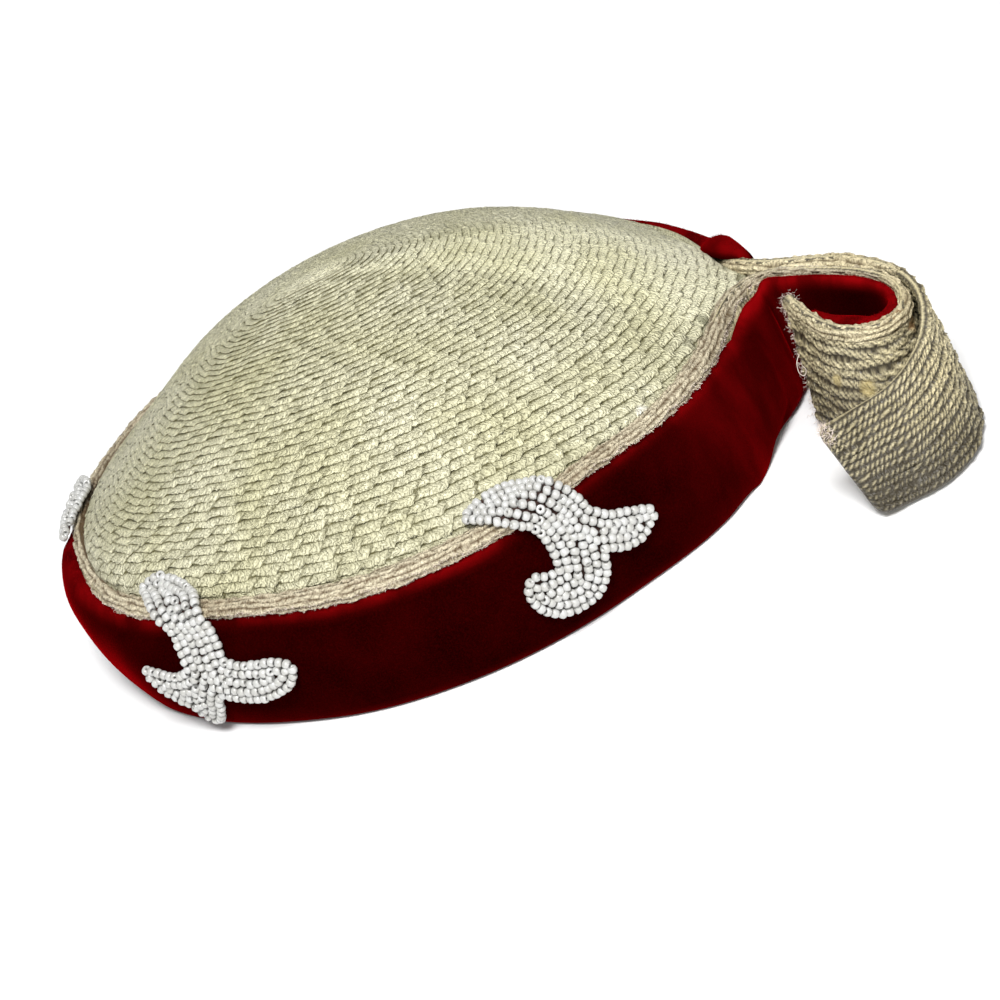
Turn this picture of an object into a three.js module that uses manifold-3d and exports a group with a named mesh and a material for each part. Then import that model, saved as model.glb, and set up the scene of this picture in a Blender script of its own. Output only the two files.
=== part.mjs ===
// Headband hat: a shallow dome of straw braid with an upturned straw cuff, faced with velvet.
// The cuff is one open strip whose two ends leave the head at the wearer's left as a scroll.
// Millimetres, +Z up. The hat is laid out around the centre of its rim, with the front at -Y and
// the wearer's left at +X, and the whole group is then set on the middle of its own base.

import * as THREE from 'three';
import { mergeVertices } from 'three/addons/utils/BufferGeometryUtils.js';
import Module from 'manifold-3d';

// Driving dimensions
const gap = 0.3;               // clearance between sewn pieces
const crownWall = 1.6;
const stripWall = 1.6;
const velvetWall = 1.2;
const beadPlate = 2.0;         // thickness of a beaded motif
const hemHeight = 1.5;         // velvet folded under the rim
const bandHeight = 29.5;       // rim to the velvet's top edge
const lipTop = 33.0;           // top of the straw row that shows over the velvet
const lipOut = 1.9;            // how far that row rolls out over the velvet
const lipIn = 1.1;             // how far it rolls in towards the crown
const neckLow = 28.5;          // the crown draws in behind the lip from here
const neckHigh = 32.0;         // to here
const wallHeights = [8, 15, 22];  // levels where the nested walls of the cuff bend together
const lipInset = 4.6;          // velvet's top edge to the foot of the dome, in plan
const sectorStep = 7.5;        // degrees between sections round the head
const stripLeaves = 322.5;     // angle of the last section where the strip's front lies on the head
const tuckEnds = 52;           // the velvet is tucked over the strip's top row up to this angle
const tuckFull = 30;
const tuckDip = 3.2;           // how much lower the strip's top is under the tuck
const tuckRise = 4.9;          // how much higher the velvet's edge climbs there
const puffAngle = 4;           // middle of the velvet's puffed end
const puffSpread = 9;
const puffOut = 2.4;
const puffUp = 2.0;

// Velvet's outside in plan, by angle from the wearer's left, anticlockwise seen from above:
// radius at the rim, at mid height and at the top edge.
const headSections = [
  { angle: 0, rim: 89.0, belly: 92.0, top: 88.0 },
  { angle: 30, rim: 87.0, belly: 90.0, top: 86.0 },
  { angle: 60, rim: 85.2, belly: 88.5, top: 84.6 },
  { angle: 90, rim: 84.5, belly: 87.8, top: 84.0 },
  { angle: 120, rim: 84.8, belly: 88.0, top: 84.3 },
  { angle: 150, rim: 86.0, belly: 89.5, top: 85.3 },
  { angle: 180, rim: 87.5, belly: 92.5, top: 87.5 },
  { angle: 205, rim: 88.0, belly: 92.0, top: 88.5 },
  { angle: 230, rim: 85.6, belly: 88.8, top: 84.0 },
  { angle: 250, rim: 85.3, belly: 87.5, top: 84.5 },
  { angle: 270, rim: 85.5, belly: 87.5, top: 84.6 },
  { angle: 290, rim: 86.0, belly: 87.8, top: 83.2 },
  { angle: 310, rim: 88.8, belly: 90.0, top: 86.2 },
  { angle: 330, rim: 89.5, belly: 90.5, top: 86.8 },
];

// The dome's profile from its top to its foot behind the lip: share of the foot's radius, and height.
const domeProfile = [
  { share: 0, height: 66.4 },
  { share: 0.2, height: 64.6 },
  { share: 0.4, height: 60.4 },
  { share: 0.6, height: 54.2 },
  { share: 0.75, height: 47.0 },
  { share: 0.87, height: 40.4 },
  { share: 0.95, height: 36.0 },
  { share: 1, height: 33.0 },
];

// Shallow dents pressed into the dome: place in plan, reach and depth.
const dents = [
  { x: -62, y: 28, reach: 17, depth: 1.2 },
  { x: 38, y: -34, reach: 22, depth: 0.8 },
];

// The outer wrap, from its free end back to the head: middle of the strip at its top and low edge,
// and how far it swells out at mid height.
const wrapRows = [
  { top: [79.8, -86.0, 21.5], low: [84.8, -95.2, 1.2] },
  { top: [89.0, -86.3, 22.5], low: [92.2, -95.8, 1.2] },
  { top: [98.0, -85.0, 23.2], low: [101.0, -95.0, 1.2] },
  { top: [105.2, -81.2, 24.8], low: [108.6, -90.5, 1.2] },
  { top: [111.0, -75.5, 26.8], low: [114.2, -82.5, 1.2] },
  { top: [115.0, -67.0, 28.6], low: [117.6, -71.5, 1.2] },
  { top: [116.3, -57.5, 29.8], low: [118.6, -59.5, 1.4] },
  { top: [114.3, -47.0, 30.6], low: [116.2, -48.0, 1.6] },
  { top: [108.3, -37.2, 31.0], low: [110.0, -37.5, 1.8] },
  { top: [100.5, -29.2, 31.2], low: [101.0, -29.8, 1.8] },
  { top: [93.5, -21.5, 31.6], low: [93.8, -22.5, 1.8], swell: 1.0 },
  { top: [88.8, -12.5, 32.4], low: [89.5, -13.5, 1.8], swell: 2.2 },
];

// The inner roll, from the head to its raw end, in the same columns.
const rollRows = [
  { top: [78.5, -33.4, 32.6], low: [81.0, -36.5, 1.8], swell: 3.2 },
  { top: [85.0, -26.8, 31.8], low: [86.8, -29.5, 1.8], swell: 1.6 },
  { top: [90.5, -25.3, 31.3], low: [92.0, -28.0, 1.8] },
  { top: [96.0, -28.6, 31.0], low: [97.0, -31.0, 1.7] },
  { top: [102.5, -35.2, 30.8], low: [103.0, -36.5, 1.6] },
  { top: [109.0, -43.5, 30.5], low: [110.0, -44.0, 1.6] },
  { top: [112.7, -51.5, 30.0], low: [114.0, -52.0, 1.6] },
  { top: [113.0, -59.5, 29.6], low: [114.8, -61.0, 1.6] },
  { top: [109.8, -66.3, 29.3], low: [111.5, -69.0, 1.6] },
  { top: [104.0, -68.6, 29.3], low: [105.0, -73.0, 1.6] },
  { top: [98.6, -64.8, 29.4], low: [97.8, -70.5, 1.6] },
  { top: [94.8, -57.5, 29.6], low: [92.3, -65.0, 1.6] },
  { top: [93.0, -49.5, 30.0], low: [89.6, -58.0, 1.6] },
  { top: [92.3, -41.0, 30.2], low: [88.3, -50.0, 1.6] },
];

// Path of a motif laid over the cuff, up from the rim: inset from the velvet's top edge in plan, and
// height. Below the first row it hangs on the velvet, and past the last it lies on the dome.
const overLip = [
  { inset: -0.4, height: 26.0 },
  { inset: -1.3, height: 29.4 },
  { inset: -1.3, height: 31.6 },
  { inset: 0.0, height: 33.6 },
  { inset: 2.0, height: 34.2 },
  { inset: 4.0, height: 34.5 },
  { inset: 6.2, height: 35.2 },
];
const overDome = 0.4;          // a motif's underside over the dome
const domeRun = 0.88;          // length in plan of a step along the dome there

// Beaded motifs. Each lobe follows a spine of rows: along the band, up from the rim, half width.
const leaf = {
  arm: [
    [-20.8, 38.4, 1.8], [-16.5, 37.8, 4.2], [-10.5, 36, 6],
    [-5, 31.5, 6.2], [-2.5, 25, 6.8], [-3, 18, 6],
  ],
  fan: [[-1, 22.5, 6], [4, 19.4, 4.6], [9, 17, 4.6], [13, 16.8, 3], [15, 16.9, 1.8]],
  curl: [[-3.2, 18.6, 6.2], [-5, 13, 6.4], [-9.5, 12.6, 6], [-13, 14.6, 4.6], [-14.2, 16.6, 3.4]],
};
const flower = {
  arm: [
    [-12.5, 39, 2.2], [-8.5, 39, 4.4], [-2, 35.5, 5.6],
    [2, 31, 6], [4, 25, 6.3], [5, 18.5, 6.2],
  ],
  fan: [[2, 16, 5], [-3.5, 14, 5], [-8, 14.8, 4], [-11.5, 16.8, 2.8], [-13.8, 18.3, 1.5]],
  curl: [[5, 18.5, 6], [11, 16.5, 5.4], [17, 16, 5.2], [22, 17, 4.4], [24.8, 17.8, 2.8]],
  foot: [[3, 17.5, 5.2], [0, 12, 5], [-1, 8.5, 4.2], [-1.5, 6, 2.6]],
};
const spray = {
  arm: [
    [12, 36.4, 1.4], [7, 37.4, 3], [0, 37.6, 4.4], [-6, 35.4, 5.8],
    [-10, 30.5, 6.4], [-11.5, 24.5, 6.2], [-11, 18, 6],
  ],
  fan: [[-11, 18, 5.6], [-10, 12.5, 5.8], [-9, 9, 5.6], [-8, 7, 4.4]],
  curl: [[-10.5, 18, 6], [-17, 15.4, 6], [-23, 14.7, 5.6], [-28, 15.8, 4.4], [-31, 16.8, 2.4]],
};
const motifs = [
  { name: 'bead_motif_front_right', angle: 287, lobes: leaf },
  { name: 'bead_motif_front_left', angle: 222, lobes: flower },
  { name: 'bead_motif_side', angle: 172, lobes: spray },
];
const bandRadius = 86;         // turns a motif's length along the band into an angle
const lobeLift = { arm: 0, fan: 0.12, curl: 0.24, foot: 0.36 };

// Finishes
const straw = new THREE.MeshStandardMaterial({ color: 0xcfc6a0, roughness: 0.75, metalness: 0 });
const stripStraw = new THREE.MeshStandardMaterial({ color: 0xd6c9a0, roughness: 0.75, metalness: 0 });
const velvet = new THREE.MeshStandardMaterial({ color: 0x5a060a, roughness: 0.95, metalness: 0 });
const beads = new THREE.MeshStandardMaterial({ color: 0xe9e9e6, roughness: 0.3, metalness: 0 });

// Head sections as smooth functions of the angle
const turn = (degrees) => THREE.MathUtils.degToRad(degrees);

function headSection(angle) {
  const count = headSections.length;
  const a = THREE.MathUtils.euclideanModulo(angle, 360);
  let row = count - 1;
  while (headSections[row].angle > a) row -= 1;
  const at = (k) => headSections[THREE.MathUtils.euclideanModulo(k, count)];
  const start = at(row).angle;
  const end = row + 1 < count ? at(row + 1).angle : 360;
  const t = (a - start) / (end - start);
  const blend = (key) => {
    const [p0, p1, p2, p3] = [at(row - 1)[key], at(row)[key], at(row + 1)[key], at(row + 2)[key]];
    const square = 2 * p0 - 5 * p1 + 4 * p2 - p3;
    const cube = -p0 + 3 * p1 - 3 * p2 + p3;
    return 0.5 * (2 * p1 + (p2 - p0) * t + square * t * t + cube * t * t * t);
  };
  return { rim: blend('rim'), belly: blend('belly'), top: blend('top') };
}

function velvetRadius(angle, z) {
  const { rim, belly, top } = headSection(angle);
  const t = THREE.MathUtils.clamp(z / bandHeight, 0, 1);
  const bulge = belly - (rim + top) / 2;
  return rim + (top - rim) * t + 4 * bulge * t * (1 - t);
}

function profileHeight(share) {
  const last = domeProfile.length - 1;
  const slope = (k) => {
    if (k === 0) return 0;
    const [a, b] = [domeProfile[k - 1], domeProfile[Math.min(k + 1, last)]];
    return (b.height - a.height) / (b.share - a.share);
  };
  let row = 0;
  while (row + 2 <= last && domeProfile[row + 1].share < share) row += 1;
  const [p, q] = [domeProfile[row], domeProfile[row + 1]];
  const width = q.share - p.share;
  const t = (share - p.share) / width;
  const ease = t * t * (3 - 2 * t);
  const bend = slope(row) * t * (1 - t) * (1 - t) - slope(row + 1) * t * t * (1 - t);
  return p.height + (q.height - p.height) * ease + width * bend;
}

function domeHeight(angle, r, foot) {
  const share = THREE.MathUtils.clamp(r / foot, 0, 1);
  let z = profileHeight(share);
  for (const dent of dents) {
    const away = Math.hypot(r * Math.cos(turn(angle)) - dent.x, r * Math.sin(turn(angle)) - dent.y);
    z -= dent.depth * Math.exp(-Math.pow(away / dent.reach, 2)) * (1 - Math.pow(share, 6));
  }
  return z;
}

function polar(angle, r, z) {
  return new THREE.Vector3(r * Math.cos(turn(angle)), r * Math.sin(turn(angle)), z);
}

// Flat cap over an upright ring, as triples of its points in the ring's own order
function capFaces(ring) {
  const across = new THREE.Vector3();
  ring.forEach((p) => {
    const reach = p.clone().sub(ring[0]).setZ(0);
    if (reach.length() > across.length()) across.copy(reach);
  });
  across.normalize();
  const outline = ring.map((p) => new THREE.Vector2(p.dot(across), p.z));
  return THREE.ShapeUtils.triangulateShape(outline, []).map((face) => face.sort((a, b) => a - b));
}

// Closed solid through a row of closed rings. Each end is a fan to its pole, or a flat cap without one
function skin(rings, poles = []) {
  const size = rings[0].length;
  const points = [...rings.flat(), ...poles];
  const first = rings.length * size;
  const last = first - size;
  const index = [];
  for (let i = 0; i + 1 < rings.length; i += 1) {
    for (let j = 0; j < size; j += 1) {
      const a = i * size + j;
      const b = i * size + ((j + 1) % size);
      index.push(a, b, a + size, b, b + size, a + size);
    }
  }
  if (poles.length) {
    for (let j = 0; j < size; j += 1) {
      const next = (j + 1) % size;
      index.push(first, next, j, first + 1, last + j, last + next);
    }
  } else {
    capFaces(rings[0]).forEach(([a, b, c]) => index.push(a, c, b));
    capFaces(rings.at(-1)).forEach(([a, b, c]) => index.push(last + a, last + b, last + c));
  }
  let volume = 0;
  for (let k = 0; k < index.length; k += 3) {
    const [p, q, r] = [points[index[k]], points[index[k + 1]], points[index[k + 2]]];
    volume += p.dot(q.clone().cross(r));
  }
  if (volume < 0) {
    for (let k = 0; k < index.length; k += 3) {
      [index[k + 1], index[k + 2]] = [index[k + 2], index[k + 1]];
    }
  }
  const geometry = new THREE.BufferGeometry();
  const flat = points.flatMap((p) => p.toArray());
  geometry.setAttribute('position', new THREE.Float32BufferAttribute(flat, 3));
  geometry.setIndex(index);
  geometry.computeVertexNormals();
  return geometry;
}

function middle(ring) {
  const sum = ring.reduce((total, p) => total.add(p), new THREE.Vector3());
  return sum.divideScalar(ring.length);
}

// Crown: the dome, then a wall inside the cuff down to the rim, with an inner skin one wall away
const crownOut = velvetWall + gap + stripWall + gap;
const rimHeight = hemHeight + gap;
const domeShares = [0.12, 0.26, 0.4, 0.53, 0.65, 0.76, 0.86, 0.94, 1.0];
const innerShares = [0.16, 0.38, 0.58, 0.76, 0.9, 1.0];
const cuffHeights = [neckHigh, neckLow + 0.5, ...wallHeights.slice().reverse()];

function crownGeometry() {
  const angles = [];
  for (let angle = 0; angle < 360; angle += sectorStep) angles.push(angle);
  const around = (place) => angles.map(place);
  const foot = (angle) => headSection(angle).top - lipInset;
  const wall = (angle, z) => {
    const behindLip = THREE.MathUtils.smoothstep(z, neckLow, neckHigh);
    const straight = velvetRadius(angle, z) - crownOut;
    return THREE.MathUtils.lerp(straight, foot(angle), behindLip);
  };
  const rings = [];
  for (const share of domeShares) {
    rings.push(around((a) => polar(a, share * foot(a), domeHeight(a, share * foot(a), foot(a)))));
  }
  for (const z of [...cuffHeights, rimHeight]) {
    rings.push(around((a) => polar(a, wall(a, z), z)));
  }
  for (const z of [rimHeight, ...cuffHeights.slice().reverse()]) {
    rings.push(around((a) => polar(a, wall(a, z) - crownWall, z)));
  }
  for (const share of innerShares.slice().reverse()) {
    rings.push(around((a) => {
      const outer = share * foot(a);
      return polar(a, share * (foot(a) - crownWall), domeHeight(a, outer, foot(a)) - crownWall);
    }));
  }
  const top = domeHeight(0, 0, 1);
  return skin(rings, [new THREE.Vector3(0, 0, top), new THREE.Vector3(0, 0, top - crownWall)]);
}

// Stations along the strip: free end of the wrap, round the head, raw end of the roll
const lipEnds = 0.6;           // share of the tuck where the lip is gone
const climbStarts = 0.8;       // share of the tuck where the velvet starts to climb
const middleInset = velvetWall + gap + stripWall / 2;
const puff = (angle) => Math.exp(-Math.pow((angle - puffAngle) / puffSpread, 2));
const tuck = (angle) => 1 - THREE.MathUtils.smoothstep(angle, tuckFull, tuckEnds);

function stationRows() {
  const rows = [];
  const tailRow = ({ top, low, swell = 0 }, lip) => {
    const [topPoint, lowPoint] = [new THREE.Vector3(...top), new THREE.Vector3(...low)];
    rows.push({ top: topPoint, low: lowPoint, bulge: swell, lip, puff: 0, tuck: 0, tail: true });
  };
  wrapRows.forEach((row) => tailRow(row, 0));
  for (let angle = 0; angle <= stripLeaves; angle += sectorStep) {
    const { rim, belly, top } = headSection(angle);
    rows.push({
      top: polar(angle, top - middleInset, bandHeight),
      low: polar(angle, rim - middleInset, 0),
      bulge: belly - (rim + top) / 2,
      lip: 1 - THREE.MathUtils.smoothstep(tuck(angle), 0, lipEnds),
      puff: puff(angle),
      tuck: tuck(angle),
      tail: false,
    });
  }
  rollRows.forEach((row, k) => tailRow(row, Math.max(0, 0.6 - 0.4 * k)));
  return rows;
}

// Smooth stations, with one more between each two rows of a tail
function stations() {
  const rows = stationRows();
  const top = new THREE.CatmullRomCurve3(rows.map((row) => row.top));
  const low = new THREE.CatmullRomCurve3(rows.map((row) => row.low));
  const forms = rows.map((row) => new THREE.Vector3(row.bulge, row.lip, row.puff));
  const form = new THREE.CatmullRomCurve3(forms);
  const steps = [];
  rows.forEach((row, k) => {
    steps.push(k);
    const next = rows[k + 1];
    if (next && row.tail && next.tail) steps.push(k + 0.5);
  });
  const list = steps.map((step) => {
    const t = step / (rows.length - 1);
    const { x: bulge, y: lip, z: swell } = form.getPoint(t);
    return {
      top: top.getPoint(t),
      low: low.getPoint(t),
      bulge,
      lip: THREE.MathUtils.clamp(lip, 0, 1),
      puff: Math.max(0, swell),
      tuck: rows[Math.round(step)].tuck,
      tail: rows[Math.round(step)].tail,
    };
  });
  list.forEach((station, k) => {
    const before = list[Math.max(0, k - 1)];
    const after = list[Math.min(list.length - 1, k + 1)];
    const along = after.top.clone().add(after.low).sub(before.top).sub(before.low);
    station.out = new THREE.Vector3(along.y, -along.x, 0).normalize();
    station.stripTop = station.tail ? station.top.z : lipTop - tuckDip * station.tuck;
    station.stripLow = station.tail ? station.low.z : rimHeight;
  });
  return list;
}

function place(station, side, z) {
  const { top, low } = station;
  const share = (z - low.z) / (top.z - low.z);
  const level = THREE.MathUtils.clamp(share, 0, 1);
  const point = station.tail ? low.clone().lerp(top, share) : low.clone().lerp(top, level).setZ(z);
  return point.addScaledVector(station.out, side + 4 * station.bulge * level * (1 - level));
}

// Heights of the wall's bends at a station, in proportion where a tail is lower than the cuff
function bends({ stripTop, stripLow, tail }) {
  if (!tail) return wallHeights;
  const share = (z) => (z - rimHeight) / (lipTop - rimHeight);
  return wallHeights.map((z) => THREE.MathUtils.lerp(stripLow, stripTop, share(z)));
}

// Straw strip: a flat wall whose top row rolls out into the lip
// Outline of that row outside and inside its top: share of the roll, and depth under the top
const lipOutside = [
  { roll: 0, under: 3.4 },
  { roll: 1, under: 3.1 },
  { roll: 1, under: 1.9 },
  { roll: 0.55, under: 0.7 },
];
const lipInside = [
  { roll: 0.9, under: 0.6 },
  { roll: 1, under: 1.6 },
  { roll: 0, under: 4.2 },
];

function stripSection(station) {
  const half = stripWall / 2;
  const { stripTop: top, stripLow: low, lip } = station;
  const points = [
    [half, low],
    ...bends(station).map((z) => [half, z]),
    ...lipOutside.map(({ roll, under }) => [half + lip * lipOut * roll, top - under]),
    [0, top],
    ...lipInside.map(({ roll, under }) => [-half - lip * lipIn * roll, top - under]),
    ...bends(station).map((z) => [-half, z]).reverse(),
    [-half, low],
  ];
  return points.map(([side, z]) => place(station, side, z));
}

function stripGeometry(list) {
  return skin(list.map(stripSection));
}

// Velvet: a facing outside the strip with a fold under the rim, puffed where it starts
const foldReach = stripWall / 2 + gap + crownWall + gap;
const tailReach = 0.3;         // the fold's reach under the strip on a tail
const tailHang = 0.6;          // velvet below the strip's low edge on a tail
const tailFold = 0.5;
const tailTrim = 1.2;          // strip's top to the velvet's edge on a tail
const trimBlend = 12;
const edgeRound = 0.4;
const edgeDrop = 1.2;
const puffShape = { edge: 0.4, shoulder: 0.9, wall: [0.3, 0.65, 1] };
const foldShape = [
  { inset: 0, up: 1.4 },
  { inset: 0.5, up: 0.35 },
  { inset: 1.3, up: 0 },
];

function velvetSection(station) {
  const inner = stripWall / 2 + gap;
  const onHead = station.tail ? 0 : 1;
  const swell = puffOut * station.puff;
  const low = station.tail ? station.stripLow - gap - tailHang : 0;
  const fold = station.tail ? low + tailFold : hemHeight;
  const headTrim = onHead || Math.min(1, station.lip * trimBlend);
  const trim = THREE.MathUtils.lerp(tailTrim, lipTop - bandHeight, headTrim);
  const rise = tuckRise * THREE.MathUtils.smoothstep(station.tuck, climbStarts, 1);
  const top = station.stripTop - trim + rise + puffUp * station.puff * onHead;
  const outer = inner + velvetWall;
  const reach = THREE.MathUtils.lerp(inner - tailReach, -foldReach, onHead);
  const points = [
    [inner, fold],
    ...bends(station).map((z) => [inner, z]),
    [inner, top - edgeRound],
    [(inner + outer) / 2 + swell * puffShape.edge, top],
    [outer + swell * puffShape.shoulder, top - edgeDrop],
    ...bends(station).map((z, k) => [outer + swell * puffShape.wall[k], z]).reverse(),
    ...foldShape.map(({ inset, up }) => [outer - inset, low + up]),
    [reach + 0.1, low],
    [reach, low + 0.3],
    [reach, fold],
  ];
  return points.map(([side, z]) => place(station, side, z));
}

function velvetGeometry(list) {
  const start = list.findIndex((station) => !station.tail);
  return skin(list.slice(start, -1).map(velvetSection));
}

// Beaded motifs: lobes laid over velvet, lip and dome, joined into one plate
function drape(angle, climb) {
  const { top } = headSection(angle);
  const startHeight = overLip[0].height;
  if (climb <= startHeight) {
    const r = velvetRadius(angle, climb) - overLip[0].inset;
    return polar(angle, r, climb);
  }
  let left = climb - startHeight;
  for (let k = 0; k + 1 < overLip.length; k += 1) {
    const [a, b] = [overLip[k], overLip[k + 1]];
    const length = Math.hypot(b.inset - a.inset, b.height - a.height);
    if (left <= length) {
      const t = left / length;
      const inset = THREE.MathUtils.lerp(a.inset, b.inset, t);
      const belly = k === 0 ? (velvetRadius(angle, startHeight) - top) * (1 - t) : 0;
      return polar(angle, top - inset + belly, THREE.MathUtils.lerp(a.height, b.height, t));
    }
    left -= length;
  }
  const last = overLip.at(-1);
  const r = top - last.inset - left * domeRun;
  return polar(angle, r, Math.max(last.height, domeHeight(angle, r, top - lipInset) + overDome));
}

function onDrape(angle, climb, lift) {
  const step = 0.8;
  const point = drape(angle, climb);
  const along = drape(angle + step, climb).sub(drape(angle - step, climb));
  const up = drape(angle, climb + step).sub(drape(angle, climb - step));
  const out = along.cross(up).normalize();
  return point.addScaledVector(out, lift);
}

function lobeGeometry(rows, centreAngle, lift) {
  const spine = new THREE.CatmullRomCurve3(rows.map((row) => new THREE.Vector3(...row)));
  const steps = 2 * (rows.length - 1);
  const across = [-1, -0.33, 0.33, 1];
  const rings = [];
  for (let k = 0; k <= steps; k += 1) {
    const at = spine.getPoint(k / steps);
    const before = spine.getPoint(Math.max(0, k - 0.5) / steps);
    const after = spine.getPoint(Math.min(steps, k + 0.5) / steps);
    const along = new THREE.Vector2(after.x - before.x, after.y - before.y).normalize();
    const spot = (share, height) => {
      const u = at.x - along.y * at.z * share;
      const v = at.y + along.x * at.z * share;
      return onDrape(centreAngle + THREE.MathUtils.radToDeg(u / bandRadius), v, height);
    };
    const under = across.map((share) => spot(share, lift));
    const over = across.map((share) => spot(share, beadPlate + lift));
    rings.push([...under, ...over.reverse()]);
  }
  return skin(rings, [middle(rings[0]), middle(rings.at(-1))]);
}

const wasm = await Module();
wasm.setup();

function toSolid(geometry) {
  const bare = geometry.clone();
  bare.deleteAttribute('normal');
  const merged = mergeVertices(bare, 1e-4);
  return new wasm.Manifold(new wasm.Mesh({
    numProp: 3,
    vertProperties: new Float32Array(merged.attributes.position.array),
    triVerts: new Uint32Array(merged.index.array),
  }));
}

function fromSolid(solid) {
  const mesh = solid.getMesh();
  const geometry = new THREE.BufferGeometry();
  geometry.setAttribute('position', new THREE.Float32BufferAttribute(mesh.vertProperties, 3));
  geometry.setIndex(Array.from(mesh.triVerts));
  geometry.computeVertexNormals();
  return geometry;
}

function motifGeometry({ angle, lobes }) {
  const names = Object.keys(lobes);
  const solids = names.map((name) => toSolid(lobeGeometry(lobes[name], angle, lobeLift[name])));
  return fromSolid(solids.reduce((joined, solid) => joined.add(solid)));
}

// Assembly
function piece(name, geometry, material) {
  const mesh = new THREE.Mesh(geometry, material);
  mesh.name = name;
  return mesh;
}

const hat = new THREE.Group();
const along = stations();
hat.add(piece('crown', crownGeometry(), straw));
hat.add(piece('straw_strip', stripGeometry(along), stripStraw));
hat.add(piece('velvet_facing', velvetGeometry(along), velvet));
for (const motif of motifs) {
  hat.add(piece(motif.name, motifGeometry(motif), beads));
}

// Stand the hat on the middle of its base
const box = new THREE.Box3().setFromObject(hat);
const centre = box.getCenter(new THREE.Vector3());
hat.position.set(-centre.x, -centre.y, -box.min.z);
const part = new THREE.Group();
part.add(hat);

export default part;
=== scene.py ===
"""Headband hat: a crown of straw braid, a cuff faced with red velvet, bead motifs and a straw scroll."""

import math

import bpy
import numpy as np
from mathutils import Matrix, Vector


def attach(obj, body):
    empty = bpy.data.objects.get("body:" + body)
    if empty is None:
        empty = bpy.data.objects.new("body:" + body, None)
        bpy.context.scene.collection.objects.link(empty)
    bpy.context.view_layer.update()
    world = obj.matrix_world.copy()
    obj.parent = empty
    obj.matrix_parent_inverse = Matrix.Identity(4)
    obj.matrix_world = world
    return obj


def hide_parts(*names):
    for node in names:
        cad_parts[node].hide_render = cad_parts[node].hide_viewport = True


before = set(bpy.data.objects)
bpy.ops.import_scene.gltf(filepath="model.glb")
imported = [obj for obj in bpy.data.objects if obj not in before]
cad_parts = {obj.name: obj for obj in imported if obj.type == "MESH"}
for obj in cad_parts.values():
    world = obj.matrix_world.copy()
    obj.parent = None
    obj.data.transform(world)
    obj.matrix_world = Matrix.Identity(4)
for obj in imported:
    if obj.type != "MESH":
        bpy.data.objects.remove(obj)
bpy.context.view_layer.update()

# Millimetres, in the hat's own layout: X to the wearer's left, Y to the back, Z up, around the
# middle of the rim. RIM_MIDDLE is where that middle lies in the frame. Angles are degrees from X to Y.
MM = 0.001
RIM_MIDDLE = np.array([-13.453, 4.403, 0.0])
SECTOR = 7.5  # between two sections of the cuff

# Wall sections of the cuff
BAND_HEIGHT = 29.5
LIP_TOP = 33.0
LIP_INSET = 4.6  # from the velvet's top edge to the dome's foot
RIM_HEIGHT = 1.8  # of the straw's low edge
MIDDLE_INSET = 2.3  # from the velvet's outside to the strip's middle
STRIP_HALF = 0.8
VELVET_IN, VELVET_OUT = 1.1, 2.3  # from the strip's middle to the velvet's two faces
FOLD_REACH = 3.0  # of the velvet's fold under the rim
HEM_HEIGHT = 1.5
STRIP_LEAVES = 322.5  # where the strip's front end leaves the head
TUCK_FULL, TUCK_ENDS = 30, 52
STRIP_DIP, VELVET_DIP = 5.5, 1.6  # at the tuck
TUCK_FOLD = 3.8  # how far the velvet folds in over the strip there
GATHER_OVER, GATHER_LOW = 1.2, 17.0  # the velvet's gathered start: over the strip, low edge
GATHER_CUT = 0.2  # where it starts, between that section and the next
# Where the velvet swells out over its top edge: angle, spread, how far out, how far up
SWELLS = [(-1, 7, 2.8, 4.9), (9, 5, 0.0, -1.0), (185, 14, 3.7, 2.8)]
SWELL_LEVELS = (0.25, 0.5, 0.75, 0.97, 1.1)  # shares of the band's height
SWELL_SHARES = (0.0, 0.25, 0.85, 0.9, 0.4)  # shares of a swell at those levels
# Where the velvet's top edge and the lip's low edge lie higher: angle, spread, rise
EDGE_RISES = [(298, 14, 1.6), (230, 14, 1.2)]

# Velvet's outside in plan: angle, radius at the rim, at mid height and at the top edge
HEAD = np.array([
    (0, 89.0, 92.0, 88.0),
    (30, 87.0, 90.0, 86.0),
    (60, 85.2, 88.5, 84.6),
    (90, 84.5, 87.8, 84.0),
    (120, 84.8, 88.0, 84.3),
    (150, 86.0, 89.5, 85.3),
    (180, 87.5, 92.5, 87.5),
    (205, 88.0, 92.0, 88.5),
    (230, 85.6, 88.8, 84.0),
    (250, 85.3, 87.5, 84.5),
    (270, 85.5, 87.5, 84.6),
    (290, 86.0, 87.8, 83.2),
    (310, 89.8, 90.4, 86.2),
    (330, 91.0, 91.0, 86.8),
])

# Dome: share of the foot's radius, height
DOME = np.array([
    (0, 66.4), (0.2, 64.6), (0.4, 60.4), (0.6, 54.2), (0.75, 47.0), (0.87, 40.4), (0.95, 36.0), (1, 33.0),
])
# Dents in the dome: place in plan, reach, depth
DENTS = [(-62, 28, 17, 1.2), (38, -34, 22, 0.8)]
# Where the dome's edge bulges or dips: angle, its spread, share of the foot's radius, its spread, height
BULGES = [(200, 24, 0.94, 0.11, 2.6), (12, 20, 1.0, 0.2, -4.0)]

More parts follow.
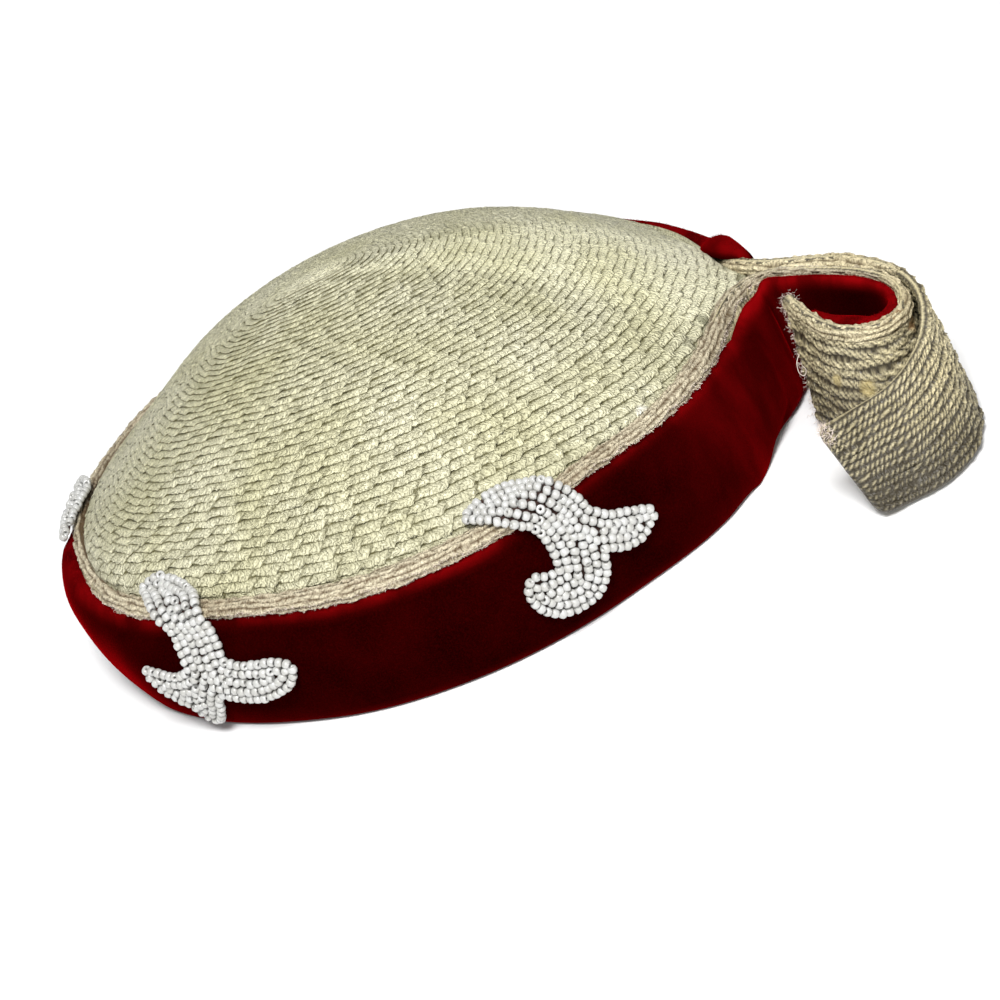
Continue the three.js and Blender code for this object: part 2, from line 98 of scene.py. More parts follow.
# Outer wrap from its free end to the head: top edge, low edge, swell at mid height
WRAP = [
    ((79.8, -86.0, 21.5), (84.8, -95.2, 1.2), 0),
    ((89.0, -86.3, 22.5), (92.2, -95.8, 1.2), 0),
    ((98.0, -85.0, 23.2), (101.0, -95.0, 1.2), 0),
    ((105.2, -81.2, 24.8), (108.6, -90.5, 1.2), 0),
    ((111.0, -75.5, 26.8), (114.2, -82.5, 1.2), 0),
    ((115.0, -67.0, 28.6), (117.6, -71.5, 1.2), 0),
    ((116.3, -57.5, 29.8), (118.6, -59.5, 1.4), 0),
    ((114.3, -47.0, 30.6), (116.2, -48.0, 1.6), 0),
    ((108.3, -37.2, 31.8), (110.0, -37.5, 1.8), 0),
    ((100.5, -29.2, 32.0), (101.0, -29.8, 1.8), 0),
    ((93.5, -21.5, 31.6), (93.8, -22.5, 1.8), 1.0),
    ((88.8, -12.5, 30.4), (89.5, -13.5, 1.8), 2.2),
]
# Inner roll from the head to its raw end, in the same columns
ROLL = [
    ((78.5, -33.4, 32.6), (82.2, -38.0, 1.8), 3.2),
    ((85.0, -26.8, 31.8), (87.6, -30.8, 1.8), 1.6),
    ((90.5, -25.3, 31.3), (92.0, -28.0, 1.8), 0),
    ((96.0, -28.6, 31.0), (97.0, -31.0, 1.7), 0),
    ((102.5, -35.2, 30.8), (103.0, -36.5, 1.6), 0),
    ((109.0, -43.5, 30.5), (110.0, -44.0, 1.6), 0),
    ((112.7, -51.5, 30.0), (114.0, -52.0, 1.6), 0),
    ((113.0, -59.5, 29.6), (114.8, -61.0, 1.6), 0),
    ((109.8, -66.3, 29.3), (111.5, -69.0, 1.6), 0),
    ((104.0, -68.6, 29.3), (105.0, -73.0, 1.6), 0),
    ((98.6, -64.8, 29.4), (97.8, -70.5, 1.6), 0),
    ((94.8, -57.5, 29.6), (92.3, -65.0, 1.6), 0),
    ((93.0, -49.5, 30.0), (89.6, -58.0, 1.6), 0),
    ((92.1, -39.6, 30.4), (88.0, -48.8, 1.6), 0),
]

# Path of a motif over the cuff: inset from the velvet's top edge in plan, height
OVER_LIP = np.array([
    (-0.4, 26.0), (-1.3, 29.4), (-1.3, 31.6), (0.0, 33.6), (2.0, 34.2), (4.0, 34.5), (6.2, 35.2),
])
OVER_DOME = 0.4
DOME_STEPS = 1.6 * np.arange(1, 9)  # insets that take the path on over the dome
BAND_RADIUS = 86

# Lobes of the beaded motifs: rows of place along the band, height up from the rim, half width
LEAF = [
    [(-20.8, 38.4, 1.8), (-16.5, 37.8, 4.2), (-10.5, 36, 6), (-5, 31.5, 6.2), (-2.5, 25, 6.8), (-3, 18, 6)],
    [(-1, 22.5, 6), (4, 19.4, 4.6), (9, 17, 4.6), (13, 16.8, 3), (15, 16.9, 1.8)],
    [(-3.2, 18.6, 6.2), (-5, 13, 6.4), (-9.5, 12.6, 6), (-13, 14.6, 4.6), (-14.2, 16.6, 3.4)],
]
FLOWER = [
    [(-12.5, 39, 2.2), (-8.5, 39, 4.4), (-2, 35.5, 5.6), (2, 31, 6), (4, 25, 6.3), (5, 18.5, 6.2)],
    [(2, 16, 5), (-3.5, 14, 5), (-8, 14.8, 4), (-11.5, 16.8, 2.8), (-13.8, 18.3, 1.5)],
    [(5, 18.5, 6), (11, 16.5, 5.4), (17, 16, 5.2), (22, 17, 4.4), (24.8, 17.8, 2.8)],
    [(3, 17.5, 5.2), (0, 12, 5), (-1, 8.5, 4.2), (-1.5, 6, 2.6)],
]
SPRAY = [
    [
        (12, 35, 1.3), (7, 35.4, 2.0), (0, 35.4, 3.0), (-6, 34.4, 5.0),
        (-10, 30.5, 6.4), (-11.5, 24.5, 6.2), (-11, 18, 6),
    ],
    [(-11, 18, 5.6), (-10, 12.5, 5.8), (-9, 9, 5.6), (-8, 7, 4.4)],
    [(-10.5, 18, 6), (-17, 15.4, 6), (-23, 14.7, 5.6), (-28, 15.8, 4.4), (-31, 16.8, 2.4)],
]
# Name, angle, lobes
MOTIFS = [
    ("bead_motif_front_right", 287, LEAF),
    ("bead_motif_front_left", 222, FLOWER),
    ("bead_motif_side", 170.6, SPRAY),
]


# Curves and small sums
def ramp(x, low, high):
    """Smooth rise from 0 at the low value to 1 at the high one."""
    t = np.clip((np.asarray(x, float) - low) / (high - low), 0, 1)
    return t * t * (3 - 2 * t)


def hump(x, middle, wide):
    """1 at the middle, falling off smoothly to 0 on both sides."""
    return np.exp(-(((x - middle) / wide) ** 2))


def turn_from(angle, other):
    """How far an angle is turned from another, between -180 and 180."""
    return np.mod(angle - other + 180, 360) - 180


def quarter_round(x, reach):
    """Rise from 0 to 1 over a reach, along a quarter of a circle."""
    return np.sqrt(np.clip(1 - (1 - np.clip(x / reach, 0, 1)) ** 2, 0, 1))


def catmull(rows, steps, closed=False):
    """Points of a smooth curve through the rows of an array, at fractional row numbers."""
    rows = np.asarray(rows, float)
    count = len(rows)
    base = np.floor(steps).astype(int)
    if not closed:
        base = np.clip(base, 0, count - 2)
    t = (np.asarray(steps, float) - base).reshape((-1,) + (1,) * (rows.ndim - 1))

    def pick(k):
        return rows[(base + k) % count] if closed else rows[np.clip(base + k, 0, count - 1)]

    p0, p1, p2, p3 = (pick(k) for k in (-1, 0, 1, 2))
    square = 2 * p0 - 5 * p1 + 4 * p2 - p3
    cube = 3 * p1 - p0 - 3 * p2 + p3
    return 0.5 * (2 * p1 + (p2 - p0) * t + square * t**2 + cube * t**3)


def lengths(points):
    """Length from the first point of a line to each of its points."""
    return np.concatenate([[0], np.cumsum(np.linalg.norm(np.diff(points, axis=0), axis=1))])


def even_steps(points, spacing):
    """Fractional numbers of a line's points at equal lengths along it, and those lengths."""
    run = lengths(points)
    along = np.linspace(0, run[-1], max(2, int(round(run[-1] / spacing)) + 1))
    return np.interp(along, run, np.arange(len(run))), along


def wander(along, size, wavelength, seed):
    """Smooth random wave, up to about its size to either side."""
    knots = np.random.default_rng(seed).uniform(-1, 1, int(np.max(along) / wavelength) + 4)
    wave = catmull(knots, np.asarray(along, float).ravel() / wavelength + 1)
    return size * wave.reshape(np.shape(along))


def row_waves(along, size, wavelength, seed, rows):
    """A random wave along each of some rows."""
    return np.stack([wander(along, size, wavelength, seed + k) for k in range(rows)], -1)


def unit(vectors):
    return vectors / np.maximum(np.linalg.norm(vectors, axis=-1, keepdims=True), 1e-9)


def polar(angle, radius, z):
    turn = np.radians(angle)
    return np.stack(np.broadcast_arrays(radius * np.cos(turn), radius * np.sin(turn), z), -1)


def surface_normals(grid):
    """Normals of a grid of points, along its rows crossed with up its columns."""
    return unit(np.cross(np.gradient(grid, axis=0), np.gradient(grid, axis=1)))


# Shape of the hat
def head_section(angle):
    """Velvet's outside radius at the rim, at mid height and at the top edge."""
    angles = np.append(HEAD[:, 0], 360)
    steps = np.interp(np.mod(angle, 360), angles, np.arange(len(angles)))
    found = catmull(HEAD[:, 1:], steps.ravel(), closed=True)
    return np.moveaxis(found.reshape(np.shape(angle) + (3,)), -1, 0)


def dome_foot(angle):
    return head_section(angle)[2] - LIP_INSET


def velvet_radius(angle, z):
    rim, belly, top = head_section(angle)
    t = np.clip(z / BAND_HEIGHT, 0, 1)
    return rim + (top - rim) * t + 4 * (belly - (rim + top) / 2) * t * (1 - t)


def profile_height(share):
    """Height of the dome without its dents, by the share of the foot's radius."""
    shares, heights = DOME.T
    slope = np.zeros(len(DOME))
    slope[1:-1] = (heights[2:] - heights[:-2]) / (shares[2:] - shares[:-2])
    slope[-1] = (heights[-1] - heights[-2]) / (shares[-1] - shares[-2])
    row = np.clip(np.searchsorted(shares, share, side="right") - 1, 0, len(DOME) - 2)
    width = shares[row + 1] - shares[row]
    t = (share - shares[row]) / width
    bend = slope[row] * t * (1 - t) ** 2 - slope[row + 1] * t**2 * (1 - t)
    return heights[row] + (heights[row + 1] - heights[row]) * t * t * (3 - 2 * t) + width * bend


def dome_height(angle, radius, foot):
    share = np.clip(radius / foot, 0, 1)
    height = profile_height(share)
    turn = np.radians(angle)
    for x, y, reach, depth in DENTS:
        away = np.hypot(radius * np.cos(turn) - x, radius * np.sin(turn) - y)
        height = height - depth * hump(away, 0, reach) * (1 - share**6)
    for middle, wide, at, run, rise in BULGES:
        height = height + rise * hump(turn_from(angle, middle), 0, wide) * hump(share, at, run)
    return height


# Length down the dome from its top, over a foot of mean radius
MEAN_FOOT = 80.5
DOME_SHARES = np.linspace(0, 1, 400)
DOME_RUNS = lengths(np.stack([DOME_SHARES * MEAN_FOOT, profile_height(DOME_SHARES)], -1))
DOME_RUN = DOME_RUNS[-1]

# The strip's sections, from the wrap's free end round the head to the roll's raw end
HEAD_ANGLES = np.arange(0, STRIP_LEAVES + 1, SECTOR)
FIRST_HEAD = len(WRAP)
LAST_HEAD = FIRST_HEAD + len(HEAD_ANGLES) - 1
LAST_ROW = LAST_HEAD + len(ROLL)


def tuck(angle):
    return 1 - ramp(angle, TUCK_FULL, TUCK_ENDS)


def edge_rise(angle):
    return sum(rise * hump(angle, middle, wide) for middle, wide, rise in EDGE_RISES)


def swollen(angle):
    """How far the velvet swells out and up at an angle."""
    shares = [(hump(angle, middle, wide), out, up) for middle, wide, out, up in SWELLS]
    return sum(share * out for share, out, _ in shares), sum(share * up for share, _, up in shares)


def band_radius(angle, z):
    """Velvet's outside radius with its swells."""
    share = np.interp(z / BAND_HEIGHT, SWELL_LEVELS, SWELL_SHARES)
    return velvet_radius(angle, z) + share * swollen(angle)[0]


def lip_share(rows):
    """How far the strip's top row is rolled out into the lip, by row number."""
    share = np.zeros(LAST_ROW + 1)
    share[FIRST_HEAD:LAST_HEAD + 1] = 1 - ramp(tuck(HEAD_ANGLES), 0, 0.6)
    share[LAST_HEAD + 1:LAST_HEAD + 3] = (0.6, 0.2)
    return np.clip(catmull(share, rows), 0, 1)


def strip_out():
    """Level direction away from the head at each row of the strip."""
    middles = [(np.array(top) + low) / 2 for top, low, _ in WRAP]
    middles += list(polar(HEAD_ANGLES, velvet_radius(HEAD_ANGLES, BAND_HEIGHT / 2) - MIDDLE_INSET, 15.0))
    middles += [(np.array(top) + low) / 2 for top, low, _ in ROLL]
    along = np.gradient(np.array(middles), axis=0)
    return unit(np.stack([along[:, 1], -along[:, 0], np.zeros(len(along))], -1))


STRIP_OUT = strip_out()


def tail_points(row, out, side, share):
    """Points of a tail's wall by the share of its height, offset to a side."""
    top, low, swell = (np.array(row[0]), np.array(row[1]), row[2])
    level = np.clip(share, 0, 1)
    aside = side + 4 * swell * level * (1 - level)
    return low + (top - low) * np.asarray(share)[:, None] + np.asarray(aside)[:, None] * out


def head_points(angle, side, z):
    return polar(angle, velvet_radius(np.full(len(z), angle), z) - MIDDLE_INSET + side, z)


def strip_rows(shares):
    """Middle of the strip's wall at shares of its height, one row of points for each section."""
    rows = []
    for k in range(LAST_ROW + 1):
        if FIRST_HEAD <= k <= LAST_HEAD:
            angle = HEAD_ANGLES[k - FIRST_HEAD]
            top = LIP_TOP - STRIP_DIP * tuck(angle)
            rows.append(head_points(angle, 0, RIM_HEIGHT + (top - RIM_HEIGHT) * shares))
        else:
            row = WRAP[k] if k < FIRST_HEAD else ROLL[k - LAST_HEAD - 1]
            rows.append(tail_points(row, STRIP_OUT[k], np.zeros(len(shares)), shares))
    return np.array(rows)


# Meshes
def grid_faces(rows, columns, closed=False):
    index = np.arange(rows * columns).reshape(rows, columns)
    if closed:
        index = np.hstack([index, index[:, :1]])
    corners = index[:-1, :-1], index[1:, :-1], index[1:, 1:], index[:-1, 1:]
    return np.stack(corners, -1).reshape(-1, 4)


def in_frame(points):
    return (np.asarray(points, float).reshape(-1, 3) + RIM_MIDDLE) * MM


def piece(name, points, faces, dress, uv=None, painted_shading=None, flip=False):
    """A named mesh that rides on the frame. Its dress is a material, the CAD node it replaces and a slot; the
    slot is not used.
    """
    material, node, slot = dress
    places = in_frame(points)
    faces = np.asarray(faces)
    if flip:
        faces = faces[:, ::-1]
    count, corners = faces.shape
    mesh = bpy.data.meshes.new(name)
    mesh.vertices.add(len(places))
    mesh.vertices.foreach_set("co", places.astype(np.float32).ravel())
    mesh.loops.add(count * corners)
    mesh.loops.foreach_set("vertex_index", faces.astype(np.int32).ravel())
    mesh.polygons.add(count)
    mesh.polygons.foreach_set("loop_start", np.arange(count, dtype=np.int32) * corners)
    mesh.polygons.foreach_set("use_smooth", np.ones(count, bool))
    if uv is not None:
        layer = mesh.uv_layers.new(name="Braid")
        layer.data.foreach_set("uv", np.asarray(uv, np.float32).reshape(-1, 2)[faces.ravel()].ravel())
    # Painted shading per point: how far the material darkens the straw (painted shade) or brightens the
    # velvet (painted sheen).
    if painted_shading is not None:
        shade = mesh.attributes.new("painted_shading", "FLOAT", "POINT")
        shade.data.foreach_set("value", np.asarray(painted_shading, np.float32).ravel())
    mesh.update(calc_edges=True)
    mesh.validate()
    mesh.materials.append(material)
    made = bpy.data.objects.new(name, mesh)
    bpy.context.scene.collection.objects.link(made)
    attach(made, "root")
    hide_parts(node)
    return made


# Materials
THREAD_SLANT = 1.5
CROWN_ROW, LIP_ROW, STRIP_ROW = 2.2, 1.45, 1.75  # widths of the braids' rows


def add(tree, kind, settings=None, **inputs):
    """A shader node with its settings, and its inputs set or linked by name."""
    made = tree.nodes.new("ShaderNode" + kind)
    for key, value in (settings or {}).items():
        setattr(made, key, value)
    for key, value in inputs.items():
        socket = made.inputs[int(key[1:])] if key[0] == "_" else made.inputs[key.replace("_", " ")]
        if isinstance(value, bpy.types.NodeSocket):
            tree.links.new(value, socket)
        else:
            socket.default_value = value
    return made


def new_material(name):
    made = bpy.data.materials.new(name)
    made.use_nodes = True
    tree = made.node_tree
    return made, tree, tree.nodes["Principled BSDF"]


def set_sockets(shader, **values):
    """Numbers and colours that are constant over the surface, by the names of their sockets."""
    for key, value in values.items():
        shader.inputs[key.replace("_", " ")].default_value = value


def object_place(tree):
    return add(tree, "TexCoord").outputs["Object"]


def noise(tree, place, scale, detail, distortion=0.0):
    settings = {"Vector": place, "Scale": scale, "Detail": detail, "Distortion": distortion}
    return add(tree, "TexNoise", None, **settings).outputs[0]


def mix_colour(tree, share, first, second):
    """A mix of two colours, each one three numbers or another node's output."""
    first, second = (c if isinstance(c, bpy.types.NodeSocket) else (*c, 1) for c in (first, second))
    settings = {"data_type": "RGBA", "blend_type": "MIX"}
    return add(tree, "Mix", settings, _0=share, _6=first, _7=second).outputs[2]


def spread(tree, value, low, high, to_low=0.0, to_high=1.0):
    made = add(tree, "MapRange", None, Value=value, From_Min=low, From_Max=high)
    set_sockets(made, To_Min=to_low, To_Max=to_high)
    return made.outputs[0]


def sum_of(tree, kind, first, second=0.0, third=0.0):
    return add(tree, "Math", {"operation": kind}, _0=first, _1=second, _2=third).outputs[0]


def plait(tree, braid, row, loop):
    """Two lanes of slanted threads along each row: 1 on a thread, 0 between two."""
    place = add(tree, "SeparateXYZ", None, Vector=braid)
    uneven = noise(tree, braid, 0.7, 1.0)
    lane = sum_of(tree, "FRACT", sum_of(tree, "MULTIPLY", place.outputs["Y"], 1 / row))
    from_middle = sum_of(tree, "ABSOLUTE", sum_of(tree, "SUBTRACT", lane, 0.5))
    slant = sum_of(tree, "MULTIPLY_ADD", from_middle, THREAD_SLANT, sum_of(tree, "MULTIPLY", uneven, 3.0))
    phase = sum_of(tree, "MULTIPLY_ADD", place.outputs["X"], 1 / loop, slant)
    wave = sum_of(tree, "SINE", sum_of(tree, "MULTIPLY", phase, math.pi))
    return sum_of(tree, "ABSOLUTE", wave)


def straw_material(name, pale, warm, deep, row, loop, threads, gloss, marks=()):
    """Braided straw: patches and threads of two creams, with painted shade between the threads and in the
    grooves, and some marks.
    """
    made, tree, shader = new_material(name)
    place = object_place(tree)
    braid = add(tree, "UVMap", {"uv_map": "Braid"}).outputs[0]
    patches = noise(tree, place, 40.0, 3.0)
    grain = noise(tree, braid, 2.2, 2.0, 0.5)
    thread = plait(tree, braid, row, loop)
    painted_shading = add(tree, "Attribute", {"attribute_name": "painted_shading"}).outputs["Fac"]
    tint = mix_colour(tree, spread(tree, patches, 0.35, 0.65), pale, warm)
    tint = mix_colour(tree, spread(tree, grain, 0.5, 0.3, 0.0, 0.6), tint, deep)
    # Painted shade: darker between the threads and, by the stored shading, in the grooves.
    tint = mix_colour(tree, spread(tree, thread, 0.45, 0.0, 0.0, threads), tint, deep)
    tint = mix_colour(tree, spread(tree, painted_shading, 0.0, 1.0, 0.0, 0.97), tint, deep)
    for spot, reach, colour, strength in marks:
        centre = tuple(in_frame(spot)[0])
        away = add(tree, "VectorMath", {"operation": "DISTANCE"}, _0=place, _1=centre)
        ragged = sum_of(tree, "MULTIPLY_ADD", grain, 0.5 * reach * MM, away.outputs["Value"])
        mark = spread(tree, ragged, 1.35 * reach * MM, 0.85 * reach * MM, 0.0, strength)
        tint = mix_colour(tree, mark, tint, colour)
    tree.links.new(tint, shader.inputs["Base Color"])
    relief = sum_of(tree, "MULTIPLY_ADD", thread, threads, grain)
    bump = add(tree, "Bump", None, Height=relief, Strength=1.0, Distance=0.5 * MM)
    tree.links.new(bump.outputs[0], shader.inputs["Normal"])
    tree.links.new(spread(tree, grain, 0.2, 0.8, 0.35, 0.6), shader.inputs["Roughness"])
    set_sockets(shader, Specular_IOR_Level=gloss)
    return made


def velvet_material():
    """Cut pile: nearly black-red face on, with a bright red sheen at a slant, and a painted sheen of bright
    red streaks along the top edge, the hem and by the scroll.
    """
    made, tree, shader = new_material("red_velvet")
    place = object_place(tree)
    brushed = noise(tree, place, 90.0, 5.0)
    pile = noise(tree, place, 2600.0, 2.0)
    long_place = add(tree, "Mapping", None, Vector=place, Scale=(1, 1, 0.4)).outputs[0]
    streaks = noise(tree, long_place, 110.0, 5.0)
    painted_sheen = add(tree, "Attribute", {"attribute_name": "painted_shading"}).outputs["Fac"]
    streaked_sheen = sum_of(tree, "MULTIPLY", painted_sheen, spread(tree, streaks, 0.36, 0.64, 0.45, 1.6))
    patches = spread(tree, brushed, 0.35, 0.65)
    tint = mix_colour(tree, patches, (0.007, 0.0001, 0.0001), (0.015, 0.0002, 0.0002))
    tint = mix_colour(tree, spread(tree, pile, 0.4, 0.7, 0.0, 0.3), tint, (0.045, 0.0004, 0.0005))
    # Painted sheen: bright red where the stored shading is high, broken into streaks.
    tint = mix_colour(tree, streaked_sheen, tint, (0.19, 0.0012, 0.0022))
    tree.links.new(tint, shader.inputs["Base Color"])
    set_sockets(shader, Roughness=1.0, Specular_IOR_Level=0.0)
    set_sockets(shader, Sheen_Weight=0.55, Sheen_Roughness=0.3, Sheen_Tint=(0.5, 0.001, 0.004, 1))
    bump = add(tree, "Bump", None, Height=pile, Strength=0.3, Distance=0.3 * MM)
    tree.links.new(bump.outputs[0], shader.inputs["Normal"])
    return made


def bead_material():
    made, tree, shader = new_material("white_beads")
    batch = noise(tree, object_place(tree), 420.0, 0.0)
    tint = mix_colour(tree, spread(tree, batch, 0.35, 0.65), (0.49, 0.49, 0.475), (0.42, 0.415, 0.39))
    tree.links.new(tint, shader.inputs["Base Color"])
    set_sockets(shader, Roughness=0.18, Coat_Weight=0.8, Coat_Roughness=0.06)
    return made


def plain_fibre(name, colour):
    made, tree, shader = new_material(name)
    uneven = noise(tree, object_place(tree), 900.0, 2.0)
    dark = tuple(0.55 * c for c in colour)
    tree.links.new(mix_colour(tree, uneven, dark, colour), shader.inputs["Base Color"])
    set_sockets(shader, Roughness=1.0, Specular_IOR_Level=0.0)
    return made


# Marks: place, reach, colour, strength
CROWN_MARKS = [
    ((72.4, -38.6, 33.2), 2.2, (0.1, 0.1, 0.05), 0.65),
    ((66.5, -47.0, 33.8), 2.0, (0.12, 0.11, 0.06), 0.55),
    ((49.1, -65.4, 32.8), 1.8, (0.9, 0.88, 0.8), 0.6),
]
STRIP_MARKS = [
    ((96.9, -67.9, 15.0), 2.4, (0.45, 0.36, 0.15), 0.9),
    ((92.5, -60.7, 16.1), 1.7, (0.47, 0.38, 0.17), 0.85),
    ((111.6, -66.4, 25.0), 2.6, (0.28, 0.14, 0.04), 0.6),
    ((109.0, -68.3, 28.5), 2.2, (0.3, 0.16, 0.05), 0.55),
]
# Straws: two creams, colour of the painted shade in the grooves, width of a row, length of a loop, depth of
# threads, gloss, marks
STRAWS = {
    "crown_straw": (
        (0.9, 0.87, 0.64), (0.8, 0.77, 0.5), (0.09, 0.08, 0.025), CROWN_ROW, 1.25, 0.5, 0.35, CROWN_MARKS,
    ),
    # lip_straw and edge_straw are copies of the strip's straw, warmer and darker: the warmth is their own
    # colour, the darkness is painted shade on the lip, less of it on the scroll's edges.
    "lip_straw": (
        (0.73, 0.655, 0.475), (0.53, 0.455, 0.315), (0.08, 0.045, 0.015), LIP_ROW, 1.3, 0.3, 0.35, [],
    ),
    "edge_straw": (
        (0.88, 0.78, 0.52), (0.7, 0.6, 0.37), (0.08, 0.05, 0.015), LIP_ROW, 1.3, 0.3, 0.35, [],
    ),
    "strip_straw": (
        (0.94, 0.83, 0.52), (0.78, 0.67, 0.38), (0.02, 0.013, 0.004), STRIP_ROW, 0.9, 0.15, 0.7, STRIP_MARKS,
    ),
}
STRAW = {name: straw_material(name, *looks) for name, looks in STRAWS.items()}
WHITE_BEADS = bead_material()
# The backing's dark brown is painted shade: it stands for the shade in the gaps between the beads.
BACKING = plain_fibre("bead_backing", (0.06, 0.035, 0.03))

# Dresses of the pieces: material, CAD node, slot
CROWN = (STRAW["crown_straw"], "crown", "crown_straw")
STRIP = (STRAW["strip_straw"], "straw_strip", "strip_straw")
LIP = (STRAW["lip_straw"], "straw_strip", "strip_straw")
EDGE = (STRAW["edge_straw"], "straw_strip", "strip_straw")
FIBRE = (plain_fibre("pale_fibre", (0.9, 0.77, 0.68)), "straw_strip", "strip_straw")
VELVET = (velvet_material(), "velvet_facing", "red_velvet")
PILE = (plain_fibre("velvet_pile", (0.22, 0.002, 0.004)), "velvet_facing", "red_velvet")

# Crown: one braid sewn round and round from a little behind the top, each row lapped over the next
BRAID_CENTRE = (-3.3, 8.4)
PITCH_TOP, PITCH_FOOT = 1.65, 2.6  # from row to row
PITCH_GROWTH = 2.4  # how late the rows widen towards the foot
PITCH_GAIN = (PITCH_FOOT - PITCH_TOP) / (PITCH_GROWTH + 1)
START_LONG, START_LEFT = 7.0, 4.0  # the start's length to each side, and more to the left
START_REACH = 5  # length down the dome over which that sets in
BEHIND_LIP, BEHIND_SCROLL = 3.0, 7.5  # how far the rows go on down out of sight
BEHIND_LEAN = 0.2  # how far out they lean there
BEAK_ANGLE, BEAK_WIDE = -13.5, 11  # where the crown reaches out between the strip's two ends
BEAK_OUT, BEAK_LEVEL = 0.7, 0.55  # how much further out and less steep the rows run there
TURNS = (DOME_RUN + BEHIND_SCROLL) / (PITCH_TOP + PITCH_GAIN)
FIRST_TURN = -0.9
STATION = 0.69  # from point to point along the braid
TILE = 7.2  # length of one plait, up to the step at its end
TILE_EDGE = 0.4  # how far the row's edge slants over a plait
TILE_RISE = 0.12  # how far the row rises over it
STEP_SLANT = 1.6
STEP_SINK = 0.2
STEPS_DEEPEST = 225  # bearing where the steps between plaits sink deepest and are painted darkest (painted shade)
LOOP_LIFT = 0.055
FRAYED = 0.06  # unevenness of a row's lower edge, as a share of its width
# Random waves along the braid: size, wavelength, seed
PLAIT_DRIFT = (0.3, 11, 1)
ROW_DRIFT = (0.06, 4, 2)
STEP_DRIFT = (0.4, 9, 6)
# Across a row: share of its width, height over the dome, weight of the loops, painted shade in the groove
BRAID_ROW = [
    (-0.2, -0.2, 0, 1), (0.1, 0.06, 0.6, 0.2), (0.5, 0.26, 1, 0),
    (0.9, 0.24, 0.8, 0.03), (0.96, 0.14, 0.3, 0.95), (1.0, -0.18, 0, 1),
]


def foot_reach(bearing):
    """Length in plan from the braid's start to the dome's foot."""
    angles = np.arange(360)
    x, y, _ = (polar(angles, dome_foot(angles), 0.0) - (*BRAID_CENTRE, 0)).T
    return np.interp(bearing, np.degrees(np.arctan2(y, x)), np.hypot(x, y), period=360)


def row_run(turn):
    """Length from the braid's start to the upper edge of a row."""
    share = np.maximum(turn / TURNS, 0)
    return PITCH_TOP * turn + PITCH_GAIN * TURNS * share ** (PITCH_GROWTH + 1)


def braid_point(bearing, run):
    """Point of the dome by bearing and length from the braid's start, and how far it is past being hidden."""
    run = np.maximum(run, 0.05)
    reach = foot_reach(bearing) * np.interp(run, DOME_RUNS, DOME_SHARES)
    turn = np.radians(bearing)
    long = (START_LONG - START_LEFT * np.cos(turn)) * (1 - np.exp(-run / START_REACH))
    x = BRAID_CENTRE[0] + (reach + long) * np.cos(turn)
    y = BRAID_CENTRE[1] + reach * np.sin(turn)
    angle = np.degrees(np.arctan2(y, x))
    foot = dome_foot(angle)
    radius = np.minimum(np.hypot(x, y), foot)
    past = np.maximum(run - DOME_RUN, 0) + np.hypot(x, y) - radius
    beak = hump(turn_from(angle, BEAK_ANGLE), 0, BEAK_WIDE)
    height = dome_height(angle, radius, foot) - past * (1 - BEAK_LEVEL * beak)
    hidden = past - BEHIND_LIP - (BEHIND_SCROLL - BEHIND_LIP) * beak
    return polar(angle, radius + past * (BEHIND_LEAN + BEAK_OUT * beak), height), hidden


def braid_normal(bearing, run):
    step = 0.4
    wide = np.degrees(step / np.maximum(run, 0.5))
    around = braid_point(bearing + wide, run)[0] - braid_point(bearing - wide, run)[0]
    down = braid_point(bearing, run + step)[0] - braid_point(bearing, run - step)[0]
    return unit(np.cross(down, around))


def braid_stations():
    """Numbers of the points along the braid that aren't hidden, their turns, lengths, depths and places."""
    fine = np.linspace(FIRST_TURN, TURNS, 40000)
    line, _ = braid_point(360 * fine, row_run(fine + 1))
    steps, along = even_steps(line, STATION)
    turn = np.interp(steps, np.arange(len(fine)), fine)
    place, hidden = braid_point(360 * turn, row_run(turn))
    kept = np.flatnonzero(hidden < 0)
    return kept, turn[kept], along[kept], hidden[kept], place[kept]


